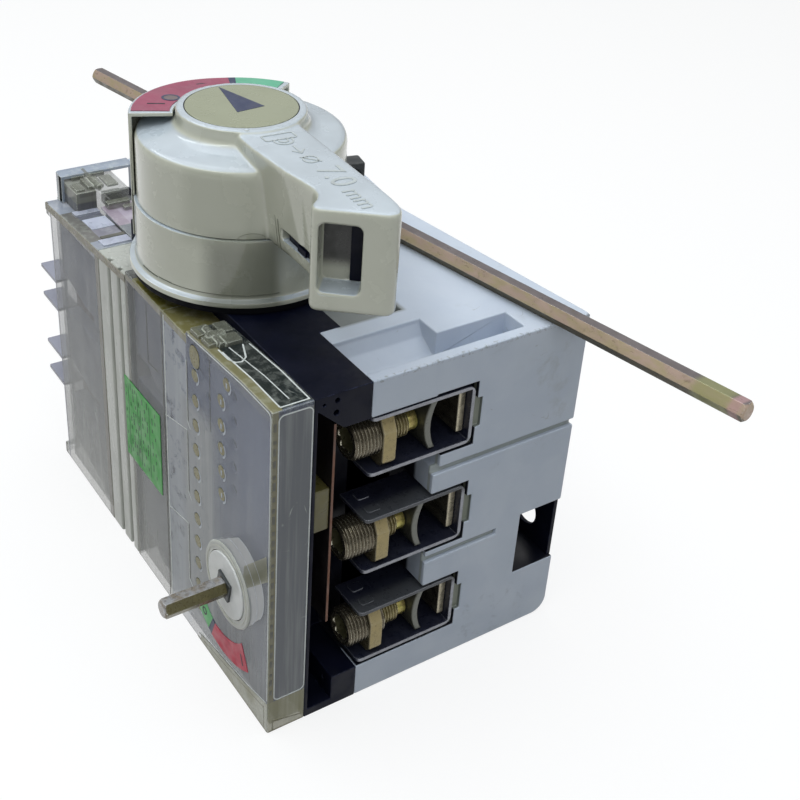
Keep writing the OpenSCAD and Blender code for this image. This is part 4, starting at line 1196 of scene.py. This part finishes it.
    def clutter(self) -> None:
        """Clear latch and hinge lumps on the upper side, with a pin in each group."""
        lumps = Solid.boxes(0.9, ((54.0, -90.6, 194.5), (63.0, -82.0, 198.6)),
            ((65.0, -90.4, 195.5), (74.0, -85.2, 199.4)),
            ((56.0, -80.0, 194.5), (66.0, -73.0, 199.2)),
            ((68.0, -82.6, 195.5), (76.5, -73.4, 199.6)),
            ((63.6, -88.0, 195.0), (68.2, -78.0, 200.2)))
        lumps.add(Solid.rod(2.0, 0.0, 18.0, 24).place(moved(58.0, -84.0, 198.2) @ ALONG_X))
        lumps.add(Solid.boxes(0.9, ((-136.0, -78.0, 195.6), (-128.0, -70.0, 199.0)),
                ((-126.0, -74.0, 195.8), (-113.0, -64.0, 198.8)),
                ((-122.0, -81.4, 195.8), (-112.4, -75.6, 198.0)),
                ((-134.0, -67.4, 196.0), (-128.0, -57.5, 199.2)),
                ((-112.0, -67.0, 188.0), (-106.0, -56.0, 195.4)),
                ((-126.0, -62.5, 196.0), (-112.0, -55.5, 198.2)),
                ((-104.0, -68.0, 188.2), (-99.0, -54.0, 192.6)),
                ((-98.0, -60.0, 188.2), (-94.0, -50.0, 191.2))))
        lumps.add(Solid.rod(1.7, 0.0, 26.0, 20).place(moved(-135.0, -68.6, 198.6) @ ALONG_X))
        lumps.piece("latch_lumps", self.body, "clear_cover", LUMP_CLEAR)

    def labels(self) -> None:
        """The rating label with unreadable lines, and the position plates beside the rotor."""
        for node, slot, finish in (("rating_label", "green_label", GREEN_FINISH),
                ("indicator_green", "green_label", INDICATOR_GREEN),
                ("indicator_red", "red_label", INDICATOR_RED),
                ("indicator_divider", "navy_print", PRINT_FINISH)):
            self.bevelled(node, slot, finish, 0.1, 1)
        print_ = Solid()
        for x, low, high in ((-23.5, 74.0, 121.0), (-12.0, 79.0, 121.0), (-8.2, 74.0, 112.0),
                (3.6, 74.0, 121.0)):
            print_.add(Solid.box((x - 0.25, low, 0.0), (x + 0.25, high, 0.06)))
        for column, x in enumerate((-26.4, -20.6, -17.4, -14.6, -10.2, -5.4, -2.2, 0.8, 7.4, 11.2)):
            for row in range(9):
                z = 75.0 + row * 5.2 + (column * 1.7) % 2.6
                if (row * 7 + column * 5) % 11 < 7:
                    print_.add(Solid.box((x - 0.5, z, 0.0),
                            (x + 0.5, z + 2.2 + (row * column) % 3, 0.06)))
        self.on_front(print_, -0.4).piece("label_print", self.body, "green_label", LABEL_INK)
        x, z = self.hub
        turn = math.radians(236)
        ring = Solid.washer(1.5, 2.5, 0.08, 24)
        marks = self.on_front(ring.place(moved(x + 48.4 * math.cos(turn), z + 48.4 * math.sin(turn),
                    0)), -0.4)
        bar = Solid.box((-3.4, -0.55, 0.0), (3.4, 0.55, 0.08))
        turn = math.radians(291)
        marks.add(self.on_front(bar.place(moved(x + 42.4 * math.cos(turn),
                    z + 42.4 * math.sin(turn), 0) @ turned("Z", 291)), -0.4))
        marks.piece("indicator_marks", self.body, "navy_print", INK_FINISH)


@dataclass
class Clamps(Assembly):
    """The box clamps at both ends, one for each pole."""

    middle: float = 125.0
    turned_in: tuple[float, ...] = (2.6, -2.6, 0.0)
    front: float = -38.5
    nut: float = -31.2
    nut_t: float = 8.0
    bush_r: float = 11.0
    bush_l: float = 22.0
    pitch: float = 1.95
    screw_r: float = 7.4
    tip_r: float = 5.7
    screw_l: float = 17.0
    inside: float = 15.05

    def at_poles(self, solid: Solid, shifted: bool = False) -> Solid:
        """Copies a solid, drawn at the pole's middle on the near end, to the three poles and mirrors them to the far end."""
        every = Solid()
        for z, shift in zip(POLES, self.turned_in):
            one = solid.copy().place(moved(0.0, shift if shifted else 0.0, z))
            every.add(one.copy().place(MIRROR_X), one)
        solid.bm.free()
        return every

    def along_screw(self, profile: Iterable[Point], steps: int = 48) -> Solid:
        """A profile of (radius, y) spun about the pole's screw."""
        return self.on_screw(Solid.lathe(profile, steps))

    def on_screw(self, solid: Solid) -> Solid:
        """Lays a solid drawn about Z along the pole's screw."""
        return solid.place(moved(self.middle, 0.0, 0.0) @ ALONG_Y)

    def thread(self, radius: float, low: float, high: float, pitch: float,
            deep: float) -> list[Point]:
        """The profile of thread rings from one y to another."""
        count = int((high - low) / pitch)
        rings: list[Point] = []
        for k in range(count):
            y = low + k * pitch
            rings += [(radius - deep, y), (radius - deep * 0.15, y + pitch * 0.33),
                (radius, y + pitch * 0.5), (radius - deep * 0.15, y + pitch * 0.67)]
        return [*rings, (radius - deep, low + count * pitch)]

    def build(self) -> None:
        """Makes every piece."""
        self.frames()
        self.bushes()
        self.nuts()
        self.screws()
        plates = Solid.of_node("pressure_plates").bevel(1.1, 3, 40.0,
            lambda edge: all(abs(v.co.x) > 135.0 for v in edge.verts))
        self.show(plates, "pressure_plates", "frame_steel", PRESSURE_FINISH)
        tongues = Solid.of_node("terminal_tongues").bevel(0.9, 3)
        self.show(tongues, "terminal_tongues", "tinned_copper", COPPER_FINISH)

    def frames(self) -> None:
        """The straps, with rounded free corners and embossed pads."""
        straps = Solid.of_node("terminal_frames")
        straps.bevel(3.0, 4, 60.0, lambda edge: upright(edge) and abs(edge.verts[0].co.x) > 136.0
            and all(abs(v.co.y - self.front) < 0.1 for v in edge.verts))
        straps.bevel(0.5, 2, 40.0)
        self.show(straps, "terminal_frames", "frame_steel", FRAME_FINISH)
        pads = Solid()
        for low, high in (((115.8, -33.4), (122.0, -26.0)), ((127.6, -34.3), (132.8, -26.2))):
            pads.add(Solid.prism(rounded_box(low, high, 1.6, 4),
                    0.75).place(moved(0.0, 0.0, 17.05)))
        pads.bevel(0.3, 2, 50.0)
        self.at_poles(pads).piece("strap_pads", self.body, "frame_steel", FRAME_FINISH)

    def bushes(self) -> None:
        """The threaded bushes with their hexagon sockets."""
        low = self.nut + self.nut_t - self.bush_l
        high, r = low + self.bush_l, self.bush_r
        bush = self.along_screw([(0.0, low), (r - 1.7, low), (r - 1.2, low + 0.15),
                (r - 0.35, low + 1.2), (r - 0.9, low + 1.5),
                *self.thread(r, low + 1.6, high - 1.2, self.pitch, 0.95), (r - 0.9, high),
                (0.0, high)], 64)
        bush.cut(self.on_screw(Solid.rod(6.93, low - 1.0, low + 11.0, 6)),
            self.along_screw([(0.0, low - 0.6), (8.3, low - 0.6), (6.2, low + 1.5),
                    (0.0, low + 1.5)], 32))
        self.show(self.at_poles(bush, True), "terminal_bushes", "zinc_steel", BUSH_FINISH, 50.0)
        lining = self.along_screw([(6.9, low + 1.3), (6.9, low + 10.9), (6.7, low + 10.9),
                (6.7, low + 1.3), (6.9, low + 1.3)], 6)
        lining.add(self.on_screw(Solid.rod(6.8, low + 10.3, low + 10.8, 6)))
        self.at_poles(lining, True).piece("socket_linings", self.body, "zinc_steel", SOCKET_FINISH,
            smooth=20.0)

    def nuts(self) -> None:
        """The chamfered nuts, turned so that a corner faces up at the open side."""
        wide, tall = 12.4, self.inside - 0.1
        outline = [(wide, 5.4), (7.4, tall), (-7.4, tall), (-wide, 7.0), (-wide, -7.0),
            (-7.4, -tall), (8.8, -tall), (wide, -11.2)]
        nut = Solid.prism(outline, self.nut_t).place(moved(self.middle, self.nut + self.nut_t, 0.0)
            @ ON_FRONT)
        nut.bevel(1.15, 3, 30.0)
        nut.cut(self.on_screw(Solid.rod(self.bush_r, self.nut - 1, self.nut + 9, 48)))
        self.show(self.at_poles(nut), "terminal_nuts", "zinc_steel", ZINC_FINISH)

    def screws(self) -> None:
        """The threaded screws, each with a plain rounded tip."""
        low = self.nut + self.nut_t
        high, r, t = low + self.screw_l, self.screw_r, self.tip_r
        screw = self.along_screw([(0.0, low - 2.0),
                *self.thread(r, low - 2.0, high - 5.6, 1.75, 0.9), (t - 0.4, high - 5.4),
                (0.0, high - 5.4)], 48)
        self.show(self.at_poles(screw, True), "clamp_screws", "zinc_steel", SCREW_FINISH, 50.0)
        tip = self.along_screw([(0.0, high - 5.9), (t, high - 5.9), (t, high - 1.3),
                (t - 0.4, high - 0.5), (t - 1.3, high - 0.05), (0.0, high)], 48)
        self.at_poles(tip, True).piece("screw_tips", self.body, "zinc_steel", TIP_FINISH)


@dataclass
class Drive(Assembly):
    """The rotor disc with its stub shaft, and the loose extension shaft."""

    body: str = "shaft"

    def build(self) -> None:
        """Makes every piece."""
        self.bevelled("rotor_disc", "white_plastic", WHITE_FINISH, 0.5)
        self.bevelled("stub_shaft", "zinc_steel", STUB_FINISH, 0.25)
        collar = Solid.box((-6.4, -6.4, 0.0), (6.4, 6.4, 1.6)).bevel(0.4)
        collar.place(moved(95.0, -93.2, 68.0) @ turned("Y", 12) @ ON_FRONT).piece("stub_collar",
            self.body, "dark_grey_plastic", DARK_GREY_FINISH)
        self.body = "switch"
        self.bevelled("extension_shaft", "zinc_steel", ROD_FINISH, 0.25)


@dataclass
class HandleBase(Assembly):
    """The fixed ring of the handle, its gasket, position plate and hasp."""

    axis: Point = (7.9, -38.2)
    foot: float = 204.0
    radius: float = 54.1
    flange: float = 57.5
    height: float = 35.0
    plate_z: float = 280.7

    def at_axis(self, solid: Solid, turn: float = 0.0) -> Solid:
        """Places a solid about the handle's axis."""
        return solid.place(moved(*self.axis, 0.0) @ turned("Z", turn))

    def build(self) -> None:
        """Makes every piece."""
        self.bevelled("handle_gasket", "gasket_rubber", GASKET_FINISH, 0.6)
        self.ring()
        self.bracket()
        self.bevelled("padlock_hasp", "dark_grey_plastic", DARK_GREY_FINISH, 0.8)

    def ring(self) -> None:
        """The ring with its flange lip and a moulded slit."""
        z, r, top = self.foot, self.radius, self.foot + self.height
        profile = [(16.0, z), (self.flange - 0.6, z), (self.flange, z + 0.5),
            (self.flange, z + 2.0), (self.flange - 0.35, z + 2.7), (self.flange - 1.0, z + 3.0),
            (r + 1.3, z + 3.2), (r + 0.5, z + 3.7), (r, z + 4.8), (r, top - 0.8),
            (r - 0.25, top - 0.2), (r - 0.8, top), (16.0, top), (16.0, z)]
        body = self.at_axis(Solid.lathe(profile, 144))
        self.show(body, "handle_ring", "cream_moulding", CREAM_FINISH, 32.0)
        marks = Solid()
        for start, end, height, thick in ((268.0, 283.0, 5.4, 0.5), (284.0, 293.0, 5.7, 0.4),
                (292.0, 352.0, 5.6, 0.22)):
            path = arc((0.0, 0.0), r + 0.03, start, end, 24)
            marks.add(Solid.strip(path, 0.4, thick).place(moved(0, 0, z + height)))
        self.at_axis(marks).piece("ring_slits", self.body, "cream_moulding", SHADE_FINISH)

    def tilted(self, solid: Solid) -> Solid:
        """Lifts the position plate a little towards its front end."""
        for vert in solid.bm.verts:
            if vert.co.z > 276.0:
                turn = math.degrees(math.atan2(vert.co.y - self.axis[1],
                        vert.co.x - self.axis[0])) % 360
                vert.co.z += 2.6 * min(1.0, max(0.0, (turn - 165.0) / 75.0))
        return solid

    def bracket(self) -> None:
        """The hood behind the knob with its red and green position plates."""
        for node, slot, finish, edge in (("position_bracket", "cream_moulding", CREAM_FINISH, 0.5),
                ("plate_red", "red_label", PLATE_RED, 0.1),
                ("plate_green", "green_label", PLATE_GREEN, 0.1),
                ("plate_divider", "navy_print", PRINT_FINISH, 0.1)):
            self.tilted(Solid.of_node(node).bevel(edge)).piece(node + "_shown", self.body, slot,
                finish, [node])
        z = self.plate_z + 0.02
        bar = Solid.box((-4.4, -0.6, 0.0), (4.4, 0.6, 0.14))
        marks = bar.place(moved(-27.0, -33.3, z) @ turned("Z", 65.8))
        marks.add(Solid.box((-3.3, -0.6, 0.0), (3.3, 0.6, 0.14)).place(moved(-46.6, 1.4, z)
                @ turned("Z", 91.0)))
        self.tilted(marks.place(moved(*self.axis, 0.0))).piece("position_marks", self.body,
            "navy_print", INK_FINISH)
        rim = Solid.washer(3.5, 4.7, 0.16, 32)
        self.tilted(rim.place(moved(self.axis[0] - 32.5, self.axis[1] - 22.8, z)))
        rim.piece("position_hole_rim", self.body, "navy_print", PRINT_FINISH)
        hole = Solid.rod(3.6, 0.0, 0.1, 32)
        self.tilted(hole.place(moved(self.axis[0] - 32.5, self.axis[1] - 22.8, z)))
        hole.piece("position_hole", self.body, "grey_plate", HOLE_FINISH)


@dataclass
class HandleKnob(Assembly):
    """The turning knob with its lever, cap and slide."""

    body: str = "handle"
    axis: Point = (7.9, -38.2)
    rest: float = -3.0
    radius: float = 52.6
    foot: float = 239.6
    shoulder: float = 274.6
    collar_r: float = 32.0
    collar: float = 278.6
    top: float = 286.2
    lever_top: float = 284.2
    arm_foot: float = 237.5
    grip_foot: float = 233.5
    reach: float = 131.0
    right: float = -8.3
    left: float = 18.5
    slant: float = 53.0

    def at_rest(self, solid: Solid, turn: float = 0.0) -> Solid:
        """Places a solid that is drawn along the lever."""
        return solid.place(moved(*self.axis, 0.0) @ turned("Z", self.rest + turn))

    def on_grip(self, solid: Solid, deep: float = 0.0) -> Solid:
        """Lays a solid drawn in XY on the grip's slanting end, or that deep behind it."""
        start = moved(self.reach - 18.9, self.right - 8.9, 0)
        return solid.place(start @ turned("Z", self.slant) @ moved(0, deep, 0) @ ON_FRONT)

    def outline(self) -> list[Point]:
        """The lever's foot seen from above, with its slanting end."""
        reach, right, left = self.reach, self.right, self.left
        return [(12.0, right - 2.6), (45.0, right - 2.0), (60.0, right - 0.6), (72.0, right + 0.3),
            (86.0, right + 0.7), (94.0, right + 0.3), (99.0, right - 1.4), (103.0, right - 4.6),
            (reach - 24.6, right - 8.4), (reach - 22.0, right - 9.8), (reach - 19.8, right - 9.8),
            (reach - 17.8, right - 8.0), (reach - 1.2, left - 11.6), (reach - 0.2, left - 9.6),
            (reach, left - 7.2), (reach - 0.5, left - 5.2), (reach - 1.9, left - 3.6),
            (reach - 4.6, left - 1.9), (reach - 9.0, left - 0.7), (reach - 20, left), (12.0, left)]

    def lean(self, solid: Solid) -> Solid:
        """Leans the lever's near side outwards, more towards the knob."""
        for vert in solid.bm.verts:
            u, v, z = vert.co
            if v < 2.0:
                share = 5.2 if u < 74 else max(0.0, 5.2 * (102.0 - u) / 28.0)
                vert.co.y -= share * (z - self.arm_foot) / 45.0
        return solid

    def build(self) -> None:
        """Makes every piece."""
        self.moulding()
        self.inserts()
        self.cap()
        self.relief()

    def moulding(self) -> None:
        """Knob and lever in one, with rounded edges, and its window and slot."""
        r, c, top = self.radius, self.collar_r, self.top
        profile = [(0.0, 232.0), (r, 232.0), (r, self.shoulder - 3.6),
            (r - 0.9, self.shoulder - 0.9), (r - 3.4, self.shoulder + 0.1),
            (c + 12.0, self.shoulder + 0.9), (c + 7.0, self.shoulder + 1.7),
            (c + 3.8, self.shoulder + 2.7), (c + 1.8, self.shoulder + 4.0),
            (c + 0.5, self.shoulder + 6.0), (c + 0.3, top), (0.0, top)]
        body = Solid.lathe(profile, 180)
        lever = Solid.prism(self.outline(), self.lever_top
            - self.grip_foot).place(moved(0, 0, self.grip_foot))
        under = Solid.prism([(-10.0, -60.0), (self.reach - 42, -60.0), (self.reach - 33.5, 0.0),
                (self.reach - 33.5, 60.0), (-10.0, 60.0)],
            self.arm_foot - self.grip_foot + 5).place(moved(0, 0, self.grip_foot - 5))
        lever.shaped(("TRIANGULATE", {}))
        lever.cut(under)
        self.lean(lever).bevel(1.8, 3, 28.0)
        body.add(lever)
        body.shaped(("REMESH", {"mode": "VOXEL", "voxel_size": 0.85}),
            ("SMOOTH", {"factor": 0.5, "iterations": 10}))
        window = Solid.mouth((0.9, 243.4), (20.3, 277.0), 3.2, 13.6, 1.3, 2.2)
        self.on_grip(window)
        slot = Solid.mouth((self.reach - 66.5, 245.0), (self.reach - 39.3, 250.9), 1.6, 9.0, 0.7,
            0.6)
        slot.place(moved(0, self.right - 1.1, 0) @ ON_FRONT)
        foot = Solid.rod(56.6, 225.0, self.foot, 96)
        recess = Solid.rod(28.5, top - 0.8, top + 5, 96)
        for tool in (foot, window, slot, recess):
            body.cut(tool)
        self.show(self.at_rest(body), "handle_knob", "cream_moulding", CREAM_FINISH, 42.0)

    def inserts(self) -> None:
        """The padlock slide, a plate on the window's floor painted in shade, the fine lines moulded in the
        lever's side and the half-round tab above the seam.
        """
        slide = Solid.box((self.reach - 64.0, self.right + 1.6, 245.1),
            (self.reach - 39.5, self.right + 8.0, 250.8))
        slide.add(Solid.box((self.reach - 53.0, self.right + 0.2, 245.3),
                (self.reach - 45.0, self.right + 2.6, 248.2)))
        flap = Solid.prism([(13.9, 244.2), (20.0, 244.2), (20.0, 271.5), (18.2, 276.2),
                (13.9, 276.2)], 1.0)
        slide.add(self.on_grip(flap, 13.2))
        self.show(self.at_rest(slide.bevel(0.35)), "padlock_slide", "dark_moulding", NAVY_FINISH)
        # A plate on the window's floor, painted in shade.
        lining = Solid.prism(rounded_box((1.3, 244.0), (13.8, 276.4), 3.0), 0.5)
        self.at_rest(self.on_grip(lining, 13.5)).piece("window_lining", self.body, "cream_moulding",
            WINDOW_SHADE_FINISH)
        lines = Solid()
        for x, low, high in ((57.5, 240.0, 253.5), (60.2, 238.2, 256.0), (62.6, 239.0, 255.0)):
            lines.add(Solid.box((x - 0.1, -0.05, low), (x + 0.1, 0.6, high)))
        lines.add(Solid.box((53.0, -0.05, 253.3), (57.6, 0.6, 253.5)))
        lines.place(moved(0, self.right - 0.62, 0))
        self.at_rest(self.lean(lines)).piece("lever_lines", self.body, "cream_moulding",
            FAINT_FINISH)
        tab = Solid.strip([(math.sin(math.radians(a)) * 7.2, math.cos(math.radians(a)) * 4.0)
                for a in range(-90, 91, 10)], 0.35, 0.5)
        for vert in tab.bm.verts:
            turn = math.radians(337.5) + vert.co.x / self.radius
            out = self.radius - 0.42 + vert.co.z
            vert.co = Vector((out * math.cos(turn), out * math.sin(turn), 238.6 + vert.co.y))
        tab.place(moved(*self.axis, 0.0))
        tab.piece("seam_tab", self.body, "cream_moulding", FAINT_FINISH)

    def cap(self) -> None:
        """The cap disc with its pointer, and a thin dark ring round its edge that paints the shadow in the
        gap.
        """
        # A dark ring round the cap disc's edge: painted shadow in the gap.
        gap = Solid.rod(28.45, 0.0, 0.3, 96).place(moved(0, 0, self.top - 0.85))
        self.at_rest(gap).piece("cap_gap", self.body, "dark_moulding", INK_FINISH)
        disc = Solid.lathe([(0.0, 0.0), (27.9, 0.0), (27.9, 0.65), (27.6, 0.9), (0.0, 0.9)], 128)
        self.at_rest(disc.place(moved(0, 0, self.top - 0.7)))
        self.show(disc, "cap_disc", "olive_cap", CAP_FINISH)
        pointer = Solid.prism([(-26.6, 0.8), (5.6, 9.6), (7.2, -6.2)],
            0.12).place(moved(*self.axis, self.top + 0.2))
        self.show(pointer, "cap_pointer", "navy_print", PRINT_FINISH)
        bump = Solid.lathe([(0.0, 0.0), (1.5, 0.0), (1.4, 0.5), (0.8, 0.9), (0.0, 1.0)], 16)
        self.at_rest(bump.place(moved(28.2, -10.5, self.top - 0.5)))
        bump.piece("rim_bump", self.body, "cream_moulding", CREAM_FINISH)

    def relief(self) -> None:
        """Low raised marks on the lever's top: a padlock, an arrow and a bore size."""
        wide, tall = 0.8, 0.5
        marks = Solid.strip(rounded_box((34.6, -6.4), (40.8, 9.8), 1.2, 3), wide, tall, True)
        marks.add(Solid.strips(tall, ([(40.8, -3.0), *arc((42.4, 1.7), 4.7, -80, 80, 10),
                    (40.8, 6.4)], wide), ([(40.8, -0.4), *arc((42.2, 1.7), 2.4, -70, 70, 8),
                    (40.8, 3.8)], wide), ([(50.0, 3.0), (57.5, 3.0)], wide),
                ([(55.0, 6.0), (58.6, 3.0), (55.0, 0.0)], wide)))
        marks.add(Solid.strip(arc((66.5, 3.6), 3.6, 0, 342, 19), wide, tall, True))
        marks.add(Solid.strip([(62.6, 0.0), (70.4, 7.4)], wide, tall))
        marks.add(Solid.lettering("7.0", 17.5, tall).place(moved(87.0, 5.4, 0)))
        marks.add(Solid.lettering("mm", 13.0, tall).place(moved(111.5, 4.0, 0)))
        self.at_rest(marks.place(moved(0, 0, self.lever_top - 0.22)))
        marks.piece("lever_relief", self.body, "cream_moulding", RELIEF_FINISH)


@dataclass
class Studio:
    """Camera, lamps, floor and surroundings."""

    focal: float = 57.9
    shift: float = -0.11
    eye: Spot = (0.53734, -0.31739, 0.52389)
    gaze: Spot = (-0.69790, 0.50617, -0.50668)
    upright: Spot = (-0.45223, 0.23714, 0.85980)
    lamp_power: float = 22.0
    ambient: float = 0.46
    horizon: float = 0.2

    def build(self) -> None:
        """Sets up everything that isn't part of the object."""
        self.camera()
        self.lamps()
        self.surroundings()
        self.floor()

    def camera(self) -> None:
        """The camera, above the near end and the covers' front, looking along the row of clamps."""
        data = bpy.data.cameras.new("camera")
        data.sensor_width, data.lens, data.shift_y, data.clip_start = 36.0, self.focal, self.shift, 0.01
        made = bpy.data.objects.new("camera", data)
        bpy.context.scene.collection.objects.link(made)
        gaze = Vector(self.gaze)
        right = gaze.cross(Vector(self.upright)).normalized()
        up = right.cross(gaze).normalized()
        matrix = Matrix((right, up, -gaze)).transposed().to_4x4()
        matrix.translation = Vector(self.eye)
        made.matrix_world = matrix
        bpy.context.scene.camera = made

    def lamps(self) -> None:
        """One wide soft lamp overhead and a weak one from the near end."""
        for name, spot, size, power, colour in (("overhead", (-0.1, -0.1, 1.6), 2.0,
                    self.lamp_power * 0.8, (0.9, 0.96, 1.0)),
                ("tube", (-0.15, -0.55, 1.25), 2.4, self.lamp_power * 0.2, (0.94, 0.98, 1.0)),
                ("near_end", (1.6, -0.5, 0.9), 1.2, self.lamp_power * 0.2, (0.95, 0.98, 1.0))):
            data = bpy.data.lights.new(name, "AREA")
            data.shape, data.size, data.energy, data.color = "RECTANGLE", size, power, colour
            data.size_y = 0.1 if name == "tube" else size
            made = bpy.data.objects.new(name, data)
            made.location = spot
            made.rotation_euler = (Vector(spot) - Vector((0.0, 0.0, 0.1))).to_track_quat("Z",
                "Y").to_euler()
            bpy.context.scene.collection.objects.link(made)

    def surroundings(self) -> None:
        """A pale world, white where the camera, glass and metal see it."""
        world = bpy.data.worlds.new("surroundings")
        bpy.context.scene.world = world
        world.use_nodes = True
        net = Net(world.node_tree)
        seen = self._seen(net)
        background = net.node("ShaderNodeBackground")
        towards = net.node("ShaderNodeTexCoord").outputs["Generated"]
        near, _, upward = net.parts(towards)
        sky = net.ramp(upward, -0.1, 0.8, self.horizon, self.ambient)
        shade = net.ramp(net.vector("DOT_PRODUCT", towards, (0.8, -0.58, 0.15)), 0.62, 0.95, 1.0,
            0.28)
        sky = net.maths("MULTIPLY", sky, shade)
        tone = net.mix(net.ramp(near, -0.3, 0.6), (1.0, 0.97, 0.82), (0.86, 0.94, 1.0))
        tone = net.mix(net.ramp(upward, 0.2, 0.8), tone, (0.93, 0.97, 1.0))
        path = net.node("ShaderNodeLightPath")
        net.feed(background.inputs["Color"], net.mix(seen, tone, (1.0, 1.0, 1.0)))
        room = net.maths("MULTIPLY", net.ramp(upward, -0.05, 0.75, 0.32, 1.05), shade)
        shown = net.maths("MAXIMUM", path.outputs["Is Camera Ray"],
            path.outputs["Is Transmission Ray"])
        bright = net.maths("ADD", shown, net.maths("MULTIPLY",
                net.maths("MULTIPLY", path.outputs["Is Glossy Ray"],
                    net.maths("SUBTRACT", 1.0, shown)), room))
        net.feed(background.inputs["Strength"], net.maths("ADD",
                net.maths("MULTIPLY", net.maths("SUBTRACT", 1.0, seen), sky), bright))
        net.feed(net.node("ShaderNodeOutputWorld").inputs["Surface"], background.outputs[0])

    def floor(self) -> None:
        """A pale floor that keeps the object's soft shadow."""
        bm = bmesh.new()
        bmesh.ops.create_grid(bm, x_segments=1, y_segments=1, size=4.0)
        mesh = bpy.data.meshes.new("floor")
        bm.to_mesh(mesh)
        bm.free()
        made = bpy.data.objects.new("floor", mesh)
        bpy.context.scene.collection.objects.link(made)
        net, material = Net.of_material("floor_paper")
        seen = self._seen(net)
        diffuse = net.node("ShaderNodeBsdfDiffuse")
        net.feed(diffuse.inputs["Color"], net.mix(seen, (0.27, 0.265, 0.25), (0.9, 0.9, 0.9)))
        glow = net.node("ShaderNodeEmission")
        net.feed(glow.inputs["Color"], (1.06, 1.06, 1.06))
        both = net.node("ShaderNodeMixShader")
        net.feed(both.inputs[0], net.maths("MULTIPLY", seen, 0.75))
        net.feed(both.inputs[1], diffuse.outputs[0])
        net.feed(both.inputs[2], glow.outputs[0])
        net.feed(net.node("ShaderNodeOutputMaterial").inputs["Surface"], both.outputs[0])
        mesh.materials.append(material)

    @staticmethod
    def _seen(net: Net) -> Socket:
        """Whether a camera, glossy or transmitted ray asks."""
        path = net.node("ShaderNodeLightPath")
        both = net.maths("MAXIMUM", path.outputs["Is Camera Ray"], path.outputs["Is Glossy Ray"])
        return net.maths("MAXIMUM", both, path.outputs["Is Transmission Ray"])


def main() -> None:
    """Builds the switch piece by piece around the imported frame."""
    logging.basicConfig(level=logging.INFO, format="%(name)s: %(message)s")
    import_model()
    bpy.context.scene.view_settings.view_transform = "Standard"
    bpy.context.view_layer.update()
    Studio().build()
    for assembly in (Housing(), Covers(), Clamps(), Drive(), HandleBase(), HandleKnob()):
        assembly.build()


if __name__ == "__main__":
    main()
